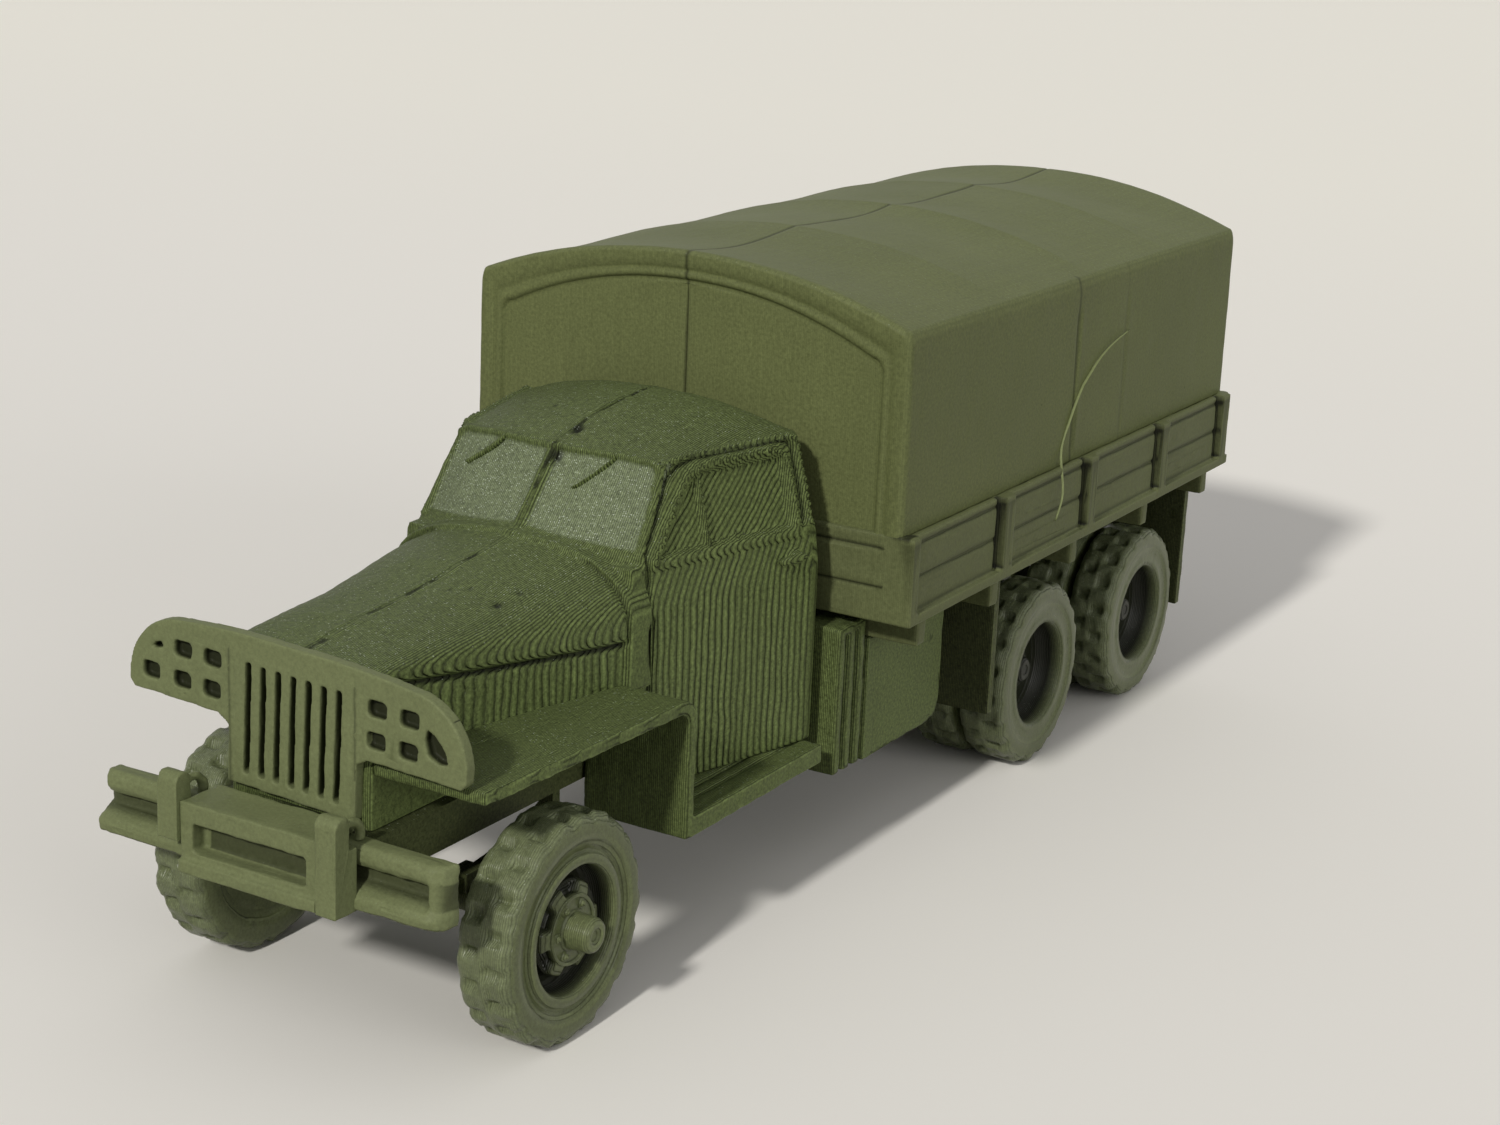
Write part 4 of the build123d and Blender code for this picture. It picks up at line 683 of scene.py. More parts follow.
def buildWheel(label, side, station, faceX, tyres, spec):
    rows, full = wheelOutline(tyres, spec)
    steps = spec["aroundSteps"]
    turn = np.linspace(0, 2 * math.pi, steps, endpoint=False)
    seed = sum(ord(c) for c in label)
    rings = []
    for x, r, across in rows:
        radius = np.full(steps, r)
        depth = np.full(steps, x)
        if -0.65 < across < 1.65 and r > 6.8:
            inside = np.clip(across, 0, 1)
            radius = radius - treadDrop(np.full(steps, inside), turn, spec) * min(1, max(0, (r - 6.75) / 0.6))
        if tyres == 1 and across == -2 and 1.28 < r < 3.2:
            # six lobes and six bolts of the front hub
            lobe = smoothStep(-0.45, 0.45, np.cos(6 * turn))
            outerPart = float(smoothStep(2.36, 2.8, r))
            depth = depth - outerPart * (1 - lobe) * 0.55
            radius = radius * (1 - 0.17 * outerPart * (1 - lobe))
            away = ((turn * 6 / (2 * math.pi) + 0.5) % 1.0 - 0.5) * 2 * math.pi / 6 * spec["boltRing"]
            depth = depth + 0.36 * np.exp(-((away / 0.24) ** 4 + ((r - spec["boltRing"]) / 0.24) ** 4))
        if across in (-2, 3) and r < 0.01:
            radius = np.full(steps, 0.002)
        rings.append(np.stack([depth, radius * np.cos(turn), radius * np.sin(turn)], 1))
    verts = np.concatenate(rings)
    flow = np.concatenate([np.full(steps, r) for _, r, _ in rows])
    tread = smoothStep(6.9, 7.3, flow)
    lumps = printNoise(verts, 0.9, 1.0, seed)
    fine = printNoise(verts, 0.42, 1.0, seed + 5)
    radial = verts[:, 1:] / np.maximum(np.linalg.norm(verts[:, 1:], axis=1, keepdims=True), 1e-6)
    verts[:, 1:] += (radial * ((lumps * spec["blob"] + fine * spec["fineBlob"]) * (0.15 + tread))[:, None]
        * (flow > 1.2)[:, None])
    reach = np.linalg.norm(verts[:, 1:], axis=1)
    over = reach > spec["radius"]
    verts[over, 1:] *= (spec["radius"] / reach[over])[:, None]
    verts[:, 0] += (fine * 0.02 + lumps * 0.025) * (flow > 1.2) * (verts[:, 0] < full - 0.05)
    faces = []
    for r in range(len(rows) - 1):
        for k in range(steps):
            a, b = r * steps + k, r * steps + (k + 1) % steps
            faces.append((a, b, b + steps, a + steps) if side > 0 else (b, a, a + steps, b + steps))
    verts[:, 0] = side * (faceX - full + verts[:, 0])
    verts[:, 1] += frontAxleY + station
    verts[:, 2] += spec["axleZ"]
    mesh = rawMesh(label, verts, faces)
    weld(mesh, 0.006, True)
    co, _ = meshArrays(mesh)
    sunk = faceX - np.abs(co[:, 0])
    around = np.hypot(co[:, 1] - frontAxleY - station, co[:, 2] - spec["axleZ"])
    # painted shade inside the dish, painted glints on the tread
    shade = (spec["dishDark"] * smoothStep(0.15, 1.1, sunk) * (1 - smoothStep(4.3, 4.45, around))
        * (sunk < full - 0.6))
    addPiece(label.replace("wheel_", "printedWheel_"), mesh, "wheel", label + "_body", label,
        marks={"paintedShade": shade, "paintedGlint": spec["treadShine"] * smoothStep(6.9, 7.2, around)})


for row in wheelTable:
    buildWheel(*row, tyre)
print("wheels turned")

# cover
cover = {
    "front": 33.65, "length": 63.2, "baseZ": 27.0, "halfWidth": 18.75, "baseHalf": 18.85, "shoulderZ": 41.75,
    "shoulderRadius": 1.5, "crownZ": 45.5, "sag": 0.42, "hoops": 5, "rim": 2.1, "roofShare": 0.56,
    "shoulderShare": 0.09, "crownPower": 2.15, "panelRise": 0.15, "panelDrop": 1.1, "panelBend": 0.9,
    "recess": 0.34, "creases": ((63.0, 0.14), (72.8, 0.05)),
    "hair": ((73.0, 36.3), (70.0, 35.7), (67.5, 34.9), (65.5, 33.8), (63.9, 32.7), (62.2, 30.6), (60.9, 28.3),
        (59.1, 25.4), (58.1, 23.3)),
}


def coverPoint(spec, along, across):
    # along: 0 front to 1 rear; across: 0 at the crown to 1 at the foot of the side
    station = spec["front"] + spec["length"] * along
    bay = along * (spec["hoops"] - 1)
    slack = spec["sag"] * np.sin(np.pi * (bay % 1.0)) ** 0.8
    slack = slack * (0.7 + 0.6 * np.sin(bay * 2.1 + 0.6) ** 2)
    half, radius, corner = spec["halfWidth"], spec["shoulderRadius"], spec["shoulderZ"]
    roofShare, shoulderShare = spec["roofShare"], spec["shoulderShare"]
    t = np.clip(across / roofShare, 0, 1)
    x = t * (half - radius * 0.35)
    rise = spec["crownZ"] - corner - 0.25
    z = corner + 0.25 + rise * (1 - (t ** spec["crownPower"])) - slack * (1 - t ** 3)
    # round the shoulder, then down the side
    u = np.clip((across - roofShare) / shoulderShare, 0, 1)
    bend = u * math.pi / 2
    sx = half - radius * 0.35 + radius * 0.35 * np.sin(bend)
    sz = corner + 0.25 - (1 - np.cos(bend)) * radius
    v = np.clip((across - roofShare - shoulderShare) / (1 - roofShare - shoulderShare), 0, 1)
    dx = half + (spec["baseHalf"] - half) * v
    dz = corner + 0.25 - radius - (corner + 0.25 - radius - spec["baseZ"]) * v
    px = np.where(across < roofShare, x, np.where(u < 1, sx, dx))
    pz = np.where(across < roofShare, z, np.where(u < 1, sz, dz))
    return px, station, pz


def coverEnd(ring, way, spec):
    # rows of one end from its outline inwards: a rim, a step back and the panel
    yEnd = ring[0, 1]
    inner = ring.copy()
    rim, foot = spec["rim"], spec["baseZ"]
    rise, drop, bend = spec["panelRise"], spec["panelDrop"], spec["panelBend"]
    roofShare = spec["roofShare"]
    sideShare = roofShare + spec["shoulderShare"]
    half = spec["halfWidth"] - rim
    corner = spec["shoulderZ"] - rim
    rowAcross = np.linspace(0, 1, len(ring))
    t = np.clip(rowAcross / roofShare, 0, 1)
    top = spec["crownZ"] - rim
    arcX = t * (half - bend)
    arcZ = corner + rise + (top - corner - rise) * (1 - t ** spec["crownPower"])
    u = np.clip((rowAcross - roofShare) / spec["shoulderShare"], 0, 1) * math.pi / 2
    turnX = half - bend + bend * np.sin(u)
    turnZ = corner + rise - (1 - np.cos(u)) * drop
    sideTop = corner + rise - drop
    v = np.clip((rowAcross - sideShare) / (1 - sideShare), 0, 1)
    inner[:, 0] = np.where(rowAcross < roofShare, arcX, np.where(rowAcross < sideShare, turnX, half))
    inner[:, 2] = np.where(rowAcross < roofShare, arcZ,
        np.where(rowAcross < sideShare, turnZ, sideTop - (sideTop - foot) * v))
    shells = [ring]
    for share, depth in ((0.06, -0.02), (0.3, 0.0), (0.55, 0.02), (0.62, 0.14), (0.72, 0.16), (0.82, 0.04),
            (0.92, 0.04)):
        row = ring * (1 - share) + inner * share
        row[:, 1] = yEnd + way * depth
        shells.append(row)
    for push, back in ((0.0, 0.1), (0.06, spec["recess"] * 0.8), (0.16, spec["recess"] + 0.05),
            (0.3, spec["recess"])):
        row = inner.copy()
        scale = 1 - push / 12
        row[:, 0] *= scale
        row[:, 2] = foot + (row[:, 2] - foot) * scale
        row[:, 1] = yEnd + way * back
        shells.append(row)
    panelEdge = shells[-1]
    for share in (*np.linspace(0.08, 0.96, 13), 0.988, 1.0):
        row = panelEdge.copy()
        row[:, 0] = row[:, 0] * (1 - share)
        row[:, 1] = yEnd + way * (spec["recess"] - 0.05 * math.sin(share * math.pi))
        if share == 1:        # the seam of the two halves
            row[:, 0] = 0
            row[:, 1] += way * 0.12
        shells.append(row)
    return shells


def buildCover(side, spec):
    alongSteps, acrossSteps = 221, 128
    along, across = np.meshgrid(np.linspace(0, 1, alongSteps), np.linspace(0, 1, acrossSteps), indexing="ij")
    x, station, z = coverPoint(spec, along, across)
    y = frontAxleY + station
    # creases on the side, pulled in a little
    sideMask = smoothStep(0.66, 0.7, across) * (1 - smoothStep(0.97, 1.0, across))
    for creaseAt, depth in spec["creases"]:
        x = x - depth * np.exp(-((station - creaseAt) / 0.25) ** 2) * sideMask
        x = x + depth * 0.4 * np.exp(-((station - creaseAt - 0.7) / 0.35) ** 2) * sideMask
    # a small rounding at both ends
    ends = np.minimum(station - spec["front"], spec["front"] + spec["length"] - station)
    tuck = 0.3 * np.exp(-(ends / 0.22) ** 2)
    x = x - tuck * smoothStep(0.5, 0.62, across)
    z = z - tuck * (1 - smoothStep(0.52, 0.66, across))
    verts = np.stack([x, y, z], 2).reshape(-1, 3)
    wave = printNoise(verts, 5.0, 0.05, 3 + side) + printNoise(verts, 1.2, 0.02, 7 + side)
    outward = np.stack([smoothStep(0.5, 0.62, across), np.zeros_like(across),
        1 - smoothStep(0.5, 0.62, across)], 2).reshape(-1, 3)
    centre = across.reshape(-1) > 0.001
    verts += outward * (wave * centre)[:, None]
    # the seam along the crown: a shallow valley where the two halves meet
    flat = across.reshape(-1)
    verts[:, 2] -= 0.06 * np.exp(-(flat / 0.004) ** 2)
    faces = []
    for i in range(alongSteps - 1):
        for k in range(acrossSteps - 1):
            a = i * acrossSteps + k
            faces.append((a, a + acrossSteps, a + acrossSteps + 1, a + 1))
    verts = verts.tolist()
    for endAlong, way in ((0, 1), (alongSteps - 1, -1)):
        ring = np.array(verts[endAlong * acrossSteps:(endAlong + 1) * acrossSteps])
        shells = coverEnd(ring, way, spec)
        base = len(verts)
        for row in shells[1:]:
            verts += row.tolist()
        previous = [endAlong * acrossSteps + k for k in range(acrossSteps)]
        for r in range(len(shells) - 1):
            current = [base + r * acrossSteps + k for k in range(acrossSteps)]
            for k in range(acrossSteps - 1):
                quad = (previous[k], previous[k + 1], current[k + 1], current[k])
                faces.append(quad if way > 0 else tuple(reversed(quad)))
            previous = current
    verts = np.array(verts)
    if side < 0:
        verts[:, 0] *= -1
        faces = [tuple(reversed(f)) for f in faces]
    mesh = rawMesh("cover", verts, faces)
    weld(mesh, 0.0005)
    co, _ = meshArrays(mesh)
    onSide = np.abs(co[:, 0]) > spec["halfWidth"] - 0.6
    # painted shade along the crown seam and in the side creases
    shade = 0.75 * np.exp(-(co[:, 0] / 0.03) ** 2)
    for creaseAt, depth in spec["creases"]:
        shade = shade + 4.5 * depth * np.exp(-((co[:, 1] - frontAxleY - creaseAt) / 0.16) ** 2) * onSide
    name = "left" if side > 0 else "right"
    addPiece("printedCover_" + name, mesh, "cover", "chassis", "cover_" + name + "_half",
        marks={"paintedShade": shade})


def tubeAlong(line, sizes, across, outwards, count=10):
    # a soft strand laid on a surface
    ring = np.linspace(0, 2 * math.pi, count, endpoint=False)
    section = np.cos(ring)[:, None] * across + np.sin(ring)[:, None] * outwards
    return loftRows([point + size * section for point, size in zip(line, sizes)], True)


def strayHair(spec):
    # a stray thread of plastic left on the left side of the cover
    line = curvePath([(spec["halfWidth"] + 0.2 + 1.2 * smoothStep(28.3, 27.5, z), frontAxleY + station, z)
        for station, z in spec["hair"]], 6)
    sizes = 0.12 - 0.04 * np.linspace(-1, 1, len(line)) ** 2
    strand = tubeAlong(line, sizes, np.array([0, 0.8, 0.6]), np.array([1.0, 0, 0]), 8)
    addPiece("strayHair", rawMesh("hair", *strand), "hair", "chassis")


for side in (1, -1):
    buildCover(side, cover)
strayHair(cover)
print("cover laid")

# hood, cowl and cab
cab = {
    "voxel": 0.16, "keep": 0.40, "passes": 3, "kneeZ": 24.5, "beltZ": 27.7, "floorZ": 15.4, "doorFootZ": 11.45,
    "paneDepth": 0.22, "windowDepth": 0.42, "ropeHeight": 0.36, "gapDepth": 0.34, "beadHeight": 0.36,
    "ventHeight": 0.3, "frameHeight": 0.13, "shieldFoot": (12.96, 29.25), "shieldLean": 0.914,
    "shieldHalf": 9.1, "shieldBow": 0.35, "seamShade": 0.2, "dashShade": 1.0, "creaseShade": 0.95,
    "roofGlint": 0.26, "hoodGlint": 0.28,
}
hoodTable = (
    # station, half width, crease height, crown height, fullness of the arch
    (-9.6, 5.75, 24.9, 25.85, 2.9), (-7.3, 6.15, 24.85, 26.2, 2.8), (-3.8, 6.75, 24.45, 26.7, 2.6),
    (0.5, 7.45, 24.0, 27.05, 2.5), (3.5, 8.1, 23.8, 27.4, 2.4), (6.2, 8.75, 23.6, 27.9, 2.35),
    (8.4, 9.35, 23.45, 28.15, 2.3), (11.95, 10.05, 23.25, 28.65, 2.25), (14.4, 10.05, 23.2, 29.0, 2.25),
)
roofCrown = (
    (17.4, 34.1), (18.4, 34.4), (20.3, 34.95), (22.35, 35.4), (24.8, 35.8), (27.7, 36.0), (29.4, 36.0),
    (30.6, 35.8), (31.5, 35.2), (32.0, 34.5), (32.3, 33.7),
)
roofHalf = (
    (17.4, 8.0), (19.7, 9.0), (24.5, 10.2), (29.0, 11.35), (30.6, 11.5), (32.3, 10.6),
)
beltPlan = (
    (0, 11.45), (3, 11.7), (6.5, 12.6), (9.3, 13.9), (9.62, 14.6), (9.85, 15.4), (11.1, 20.5), (12.3, 25.5),
    (13.25, 29.6), (13.2, 31.0), (12.3, 32.0), (10.4, 32.2), (0, 32.2),
)
railPlan = (
    (0, 17.35), (3, 17.42), (6, 17.56), (7.95, 17.8), (8.45, 18.5), (8.9, 19.7), (9.75, 22.6), (10.6, 26.0),
    (11.4, 29.3), (11.45, 30.6), (10.9, 31.7), (9.2, 32.15), (0, 32.2),
)


def fullRing(halfX, other):
    # both halves of a closed outline from the left half, top centre to bottom centre
    x = np.concatenate([halfX, -halfX[-2:0:-1]])
    o = np.concatenate([other, other[-2:0:-1]])
    return x, o


def hoodForm():
    rows = []
    for station in np.linspace(-9.6, 14.2, 60):
        half, crease, crown, full = (float(interpolate(hoodTable, station, c)) for c in (1, 2, 3, 4))
        angle = np.linspace(0, math.pi / 2, 26)
        x = half * np.sin(angle) ** (2 / full)
        z = crease + 0.45 + (crown - crease - 0.45) * np.cos(angle) ** (2 / full)
        low = [(half, crease + 0.15), (half - 0.12, crease - 0.12), (half - 0.42, crease - 0.25),
            (half - 0.62, crease - 0.34), (half - 0.62, crease - 0.52), (half - 0.36, crease - 0.6),
            (half - 0.34, 22.5), (half - 0.34, 19.7), (5.6, 19.7), (5.6, cab["floorZ"]), (0, cab["floorZ"])]
        x = np.concatenate([x, [p[0] for p in low]])
        z = np.concatenate([z, [p[1] for p in low]])
        fx, fz = fullRing(x, z)
        rows.append(np.stack([fx, np.full(len(fx), station), fz], 1))
    return loftRows(rows, True)


def bandForm():
    rows = []
    for station, grow in ((12.05, -0.1), (12.2, 0.0), (13.0, 0.06), (14.5, 0.06), (14.85, 0.0)):
        half, crown, crease = 10.1 + grow, 28.95 + grow * 0.5, 24.0
        angle = np.linspace(0, math.pi / 2, 30)
        x = half * np.sin(angle) ** 0.8
        z = crease + (crown - crease) * np.cos(angle) ** 0.86
        x = np.concatenate([x, [half, half, 9.0, 0]])
        z = np.concatenate([z, [22, 19.3, 19.0, 19.0]])
        fx, fz = fullRing(x, z)
        rows.append(np.stack([fx, np.full(len(fx), station), fz], 1))
    return loftRows(rows, True)


def cabinForm(fromZ, innerX=0.0, side=0):
    # lower body: straight up to the knee, then leaning in to the belt
    plan = np.array([(innerX, 13.0), (9.75, 13.0), (9.75, 14.9), (9.95, 15.3), (11.2, 20.2), (12.45, 25.3),
        (13.68, 30.3), (13.6, 31.2), (12.9, 32.0), (12.0, 32.2), (innerX, 32.2)])
    rows = []
    levels = [fromZ, 13, 17, 21, cab["kneeZ"] - 0.5, cab["kneeZ"], cab["kneeZ"] + 0.6, cab["kneeZ"] + 1.7,
        cab["beltZ"] - 0.35, cab["beltZ"]]
    if innerX:
        levels = [fromZ, 13, 15.6]
    for z in levels:
        if z < fromZ:
            continue
        lean = 0.0 if z <= cab["kneeZ"] else 0.42 * ((z - cab["kneeZ"]) / (cab["beltZ"] - cab["kneeZ"])) ** 1.3
        x = plan[:, 0] - lean * smoothStep(9, 10, plan[:, 0])
        if innerX:
            ring = np.stack([side * x, plan[:, 1], np.full(len(x), z)], 1)
        else:
            fx, fy = fullRing(x, plan[:, 1])
            ring = np.stack([fx, fy, np.full(len(fx), z)], 1)
        rows.append(ring)
    return loftRows(rows, True)


def roofHeight(x, station):
    crown = np.interp(station, [r[0] for r in roofCrown], [r[1] for r in roofCrown])
    half = np.interp(station, [r[0] for r in roofHalf], [r[1] for r in roofHalf])
    edge = np.minimum(33.95, crown)
    return crown - (crown - edge) * np.clip(np.abs(x) / half, 0, 1) ** 2.5


def greenhouseForm():
    low, high = curvePath(beltPlan, 5), curvePath(railPlan, 5)
    rows = []
    for z in (27.2, 28.6, 30.0, 31.5, 33.0, 34.0):
        share = (z - 27.2) / 6.8
        plan = low * (1 - share) + high * share
        fx, fy = fullRing(plan[:, 0], plan[:, 1])
        rows.append(np.stack([fx, fy, np.full(len(fx), z)], 1))
    for share in (0.02, 0.06, 0.12, 0.2, 0.3, 0.42, 0.55, 0.7, 0.85, 0.97):
        x = high[:, 0] * (1 - share)
        station = high[:, 1] * (1 - share) + np.clip(high[:, 1], 20, 28.5) * share
        z = roofHeight(x, station)
        fx, fy = fullRing(x, station)
        rows.append(np.stack([fx, fy, fullRing(x, z)[1]], 1))
    return loftRows(rows, True)


cabPaths = {
    "doorGap": ((10.1, 15.05, 11.5), (10.1, 15.05, 19.5), (10.1, 15.0, 22.7), (10.0, 14.95, 25.3),
        (9.7, 14.8, 27.4), (9.3, 15.0, 28.4), (9.2, 15.8, 29.5), (8.95, 17.1, 31.3), (8.75, 18.7, 33.2),
        (9.25, 20.5, 33.85), (9.95, 23.4, 34.0), (10.8, 26.9, 34.0), (11.35, 29.2, 33.85), (11.8, 29.9, 33.1),
        (12.5, 29.9, 30.4), (13.2, 29.8, 28.2)),
    "dripRope": ((8.6, 18.4, 33.7), (8.95, 19.7, 34.35), (9.6, 22.1, 34.5), (10.4, 25.6, 34.5),
        (11.2, 28.7, 34.45), (11.6, 30.1, 34.1), (12.0, 30.6, 33.3), (12.6, 30.6, 31.3), (13.3, 30.5, 28.2)),
    "windowBead": ((9.85, 15.3, 27.8), (9.75, 16.3, 29.0), (9.45, 18.1, 31.2), (9.35, 19.8, 32.8),
        (9.6, 21.0, 33.3), (10.0, 22.8, 33.45), (10.6, 25.1, 33.5), (11.2, 27.7, 33.4), (11.6, 28.8, 32.9),
        (11.95, 29.15, 31.7), (12.4, 29.15, 29.7), (13.0, 29.0, 28.0)),
    "vent": ((9.6, 20.7, 32.9), (10.4, 20.6, 30.9), (11.1, 20.6, 28.2)),
    "frameTop": ((0.3, 17.3, 33.95), (2.5, 17.4, 34.0), (5.0, 17.55, 34.0), (7.6, 17.75, 33.9),
        (8.3, 17.9, 33.5)),
    "frameSide": ((8.3, 17.9, 33.5), (8.6, 16.6, 31.2), (8.95, 15.2, 29.2), (9.1, 14.5, 28.2)),
    "hoodRear": ((10.05, 12.0, 23.0), (10.0, 12.05, 24.4), (9.3, 12.1, 25.9), (8.0, 12.1, 27.1),
        (6.4, 12.1, 27.95)),
}
pitMarks = (
    # x, station, height, size: short gaps that the print left in the hood and roof
    (5.4, 3.5, 26.7, 0.18), (5.6, 5.7, 26.95, 0.14), (1.9, 3.1, 27.5, 0.1), (2.9, 3.85, 27.5, 0.1),
    (0.45, 17.0, 33.3, 0.26), (0.5, 14.7, 29.9, 0.2), (0.5, 16.0, 31.6, 0.12), (0.3, 19.6, 34.9, 0.28),
    (4.9, 19.9, 34.4, 0.12), (-3.6, 22.5, 35.2, 0.08),
)


def handleForms():
    # a door handle and its foot on each side
    forms = []
    for side in (-1, 1):
        rows = []
        for share in np.linspace(0, 1, 9):
            station = 26.5 + 2.6 * share
            sideX = 13.1 + (station - 27.5) * 0.24
            swell = 0.2 + 0.12 * math.sin(share * math.pi) ** 0.5
            ring = np.linspace(0, 2 * math.pi, 12, endpoint=False)
            rows.append(np.stack([side * (sideX + 0.3 + swell * np.cos(ring)), np.full(12, station),
                25.75 + 0.12 * share + 1.1 * swell * np.sin(ring)], 1))
        forms.append(loftRows(rows, True))
        foot = ((27.9, 25.4), (28.8, 25.4), (28.8, 26.2), (27.9, 26.2))
        rows = [np.array([[side * x, s, z] for s, z in foot]) for x in (12.6, 13.6)]
        forms.append(loftRows(rows, True))
    return forms


def buildCab(spec):
    forms = [hoodForm(), bandForm(), cabinForm(spec["floorZ"]), greenhouseForm(),
        cabinForm(spec["doorFootZ"], 6.7, 1), cabinForm(spec["doorFootZ"], 6.7, -1), *handleForms()]
    forms = [(np.asarray(v) + np.array([0, frontAxleY, 0]), f) for v, f in forms]
    mesh = meltForms(forms, spec["voxel"], spec["passes"], spec["keep"])
    co, normals = meshArrays(mesh)
    co = co.copy()
    local = co - np.array([0, frontAxleY, 0])
    folded = local.copy()
    folded[:, 0] = np.abs(folded[:, 0])
    lift = np.zeros(len(co))

    tree = KDTree(len(folded))
    for index, point in enumerate(folded):
        tree.insert(point, index)
    tree.balance()
    reach, run = {}, {}
    for key, path in cabPaths.items():
        laid = np.array([folded[tree.find(Vector(q))[1]] for q in curvePath(path, 6)])
        reach[key], run[key] = distanceTo(laid, folded)
    lift -= spec["gapDepth"] * np.exp(-(reach["doorGap"] / 0.17) ** 2)
    for key, height, width in (("dripRope", spec["ropeHeight"], 0.3), ("windowBead", spec["beadHeight"], 0.3),
            ("frameTop", spec["frameHeight"], 0.24), ("frameSide", spec["frameHeight"] + 0.01, 0.24),
            ("vent", spec["ventHeight"], 0.2)):
        twist = 0.76 + 0.24 * np.cos(2 * math.pi * run[key] / 0.6) if height > 0.22 else 1.0
        lift += (height * twist * np.exp(-(reach[key] / width) ** 2.4)
            * (1 - 0.8 * np.exp(-(reach["doorGap"] / 0.14) ** 2)))
    # window pane: inside the bead
    s, z, x = local[:, 1], local[:, 2], folded[:, 0]
    paneFront = 15.9 + (z - 27.9) * 0.93
    onSide = (x > 9.0) & (np.abs(normals[:, 0]) > 0.5)
    pane = (smoothStep(0.0, 0.3, s - paneFront) * (1 - smoothStep(28.4, 28.75, s - (z - 28) * 0.02))
        * smoothStep(27.85, 28.15, z) * (1 - smoothStep(32.75, 33.05, z)) * onSide)
    lift -= spec["windowDepth"] * pane * (1 - 0.75 * np.exp(-(reach["vent"] / 0.2) ** 2))
    # belt: a low shelf under the window
    lift += (0.10 * np.exp(-((z - 27.6) / 0.3) ** 2) * onSide * smoothStep(15.5, 16.2, s)
        * (1 - smoothStep(29.6, 30.2, s)))
    # windshield panes
    footStation, footZ = spec["shieldFoot"]
    shieldPlane = (footStation + (z - footZ) * spec["shieldLean"]
        + (x / spec["shieldHalf"]) ** 2 * spec["shieldBow"])
    onShield = ((s < shieldPlane + 0.9 + 0.38 * np.maximum(x - 5, 0)) & (z > 28.2) & (z < 34.3)
        & (normals[:, 1] < -0.35) & (x < 9.2))
    inPane = (smoothStep(0.35, 0.6, x) * smoothStep(0.2, 0.5, reach["frameSide"])
        * smoothStep(0.15, 0.4, reach["frameTop"]) * smoothStep(29.15, 29.5, z + x * 0.09))
    lift -= spec["paneDepth"] * inPane * onShield
    lift += 0.10 * np.exp(-((x - 0.24) / 0.12) ** 2) * onShield
    # rear edge of the hood
    lift -= 0.22 * np.exp(-(reach["hoodRear"] / 0.16) ** 2)
    # seam: broken into dashes, with a low ridge each side
    dash = np.array([noise.noise(Vector((0.3, q * 0.75, 5.5)))
        + 0.5 * noise.noise(Vector((1.3, q * 2.1, 2.5))) for q in s])
    broken = smoothStep(-0.12, 0.08, dash)
    topSide = (normals[:, 2] > 0.2) | (normals[:, 1] < -0.3)
    lift -= (0.05 + 0.2 * broken) * np.exp(-(local[:, 0] / 0.10) ** 2) * topSide
    lift += 0.05 * np.exp(-((x - 0.25) / 0.12) ** 2) * topSide
    # painted shade in the door gap, behind the hood's rear edge, along the seam and darkest in its gaps, and
    # under the hood-side crease
    shade = 0.85 * np.exp(-(reach["doorGap"] / 0.13) ** 2) + 0.55 * np.exp(-(reach["hoodRear"] / 0.13) ** 2)
    shade = (shade + (spec["seamShade"] + spec["dashShade"] * broken) * np.exp(-(local[:, 0] / 0.13) ** 2)
        * topSide)
    crease = np.interp(s, [row[0] for row in hoodTable], [row[2] for row in hoodTable])
    half = np.interp(s, [row[0] for row in hoodTable], [row[1] for row in hoodTable])
    shade = (shade + spec["creaseShade"] * np.exp(-((z - crease + 0.42) / 0.2) ** 4) * (x > half - 0.95)
        * (x < half) * (s < 11.9))
    # the pits are dented and darkened with painted shade
    for px, ps, pz, size in pitMarks:
        away = np.linalg.norm((local - np.array([px, ps, pz])) * np.array([1, 0.55, 0.6]), axis=1)
        lift -= size * 1.4 * np.exp(-(away / (size * 1.05)) ** 2)
        shade = shade + 1.3 * np.exp(-(away / (size * 1.25)) ** 2)
    # painted glints and sheen on the windshield panes, the roof and the hood top
    glint = (inPane * onShield + spec["roofGlint"] * smoothStep(0.35, 0.8, normals[:, 2])
        * smoothStep(16.5, 18, s) + spec["hoodGlint"] * smoothStep(0.5, 0.9, normals[:, 2]) * (s < 16.5))
    lift += printNoise(co, 2.2, 0.05, 2) + printNoise(co, 0.6, 0.03, 9)
    setPoints(mesh, co + normals * lift[:, None])
    addPiece("printedCab", mesh, "body", "chassis", "cab_left_half", "cab_right_half",
        marks={"paintedShade": shade, "paintedGlint": glint})
    wipers()


def wipers():
    for side, rows in ((1, ((5.1, 17.5, 33.9), (4.0, 16.6, 32.7), (2.8, 15.75, 31.6))),
            (-1, ((4.2, 17.5, 34.0), (5.1, 16.9, 33.0), (6.8, 16.4, 31.7)))):
        line = curvePath(rows, 8)
        share = np.linspace(0, 1, len(line))
        sizes = 0.25 + 0.12 * share + 0.03 * np.sin(np.arange(len(line)) * 2.2)
        line = line * (side, 1, 1) + (0, frontAxleY, 0)
        blade = tubeAlong(line, sizes, np.array([0.62 * side, 0.35, 0.1]), np.array([0.05, -0.76, 0.66]))
        mesh = meltForms([blade], 0.07)
        addPiece("wiper_" + ("left" if side > 0 else "right"), mesh, "body", "chassis")


buildCab(cab)
print("cab shaped")

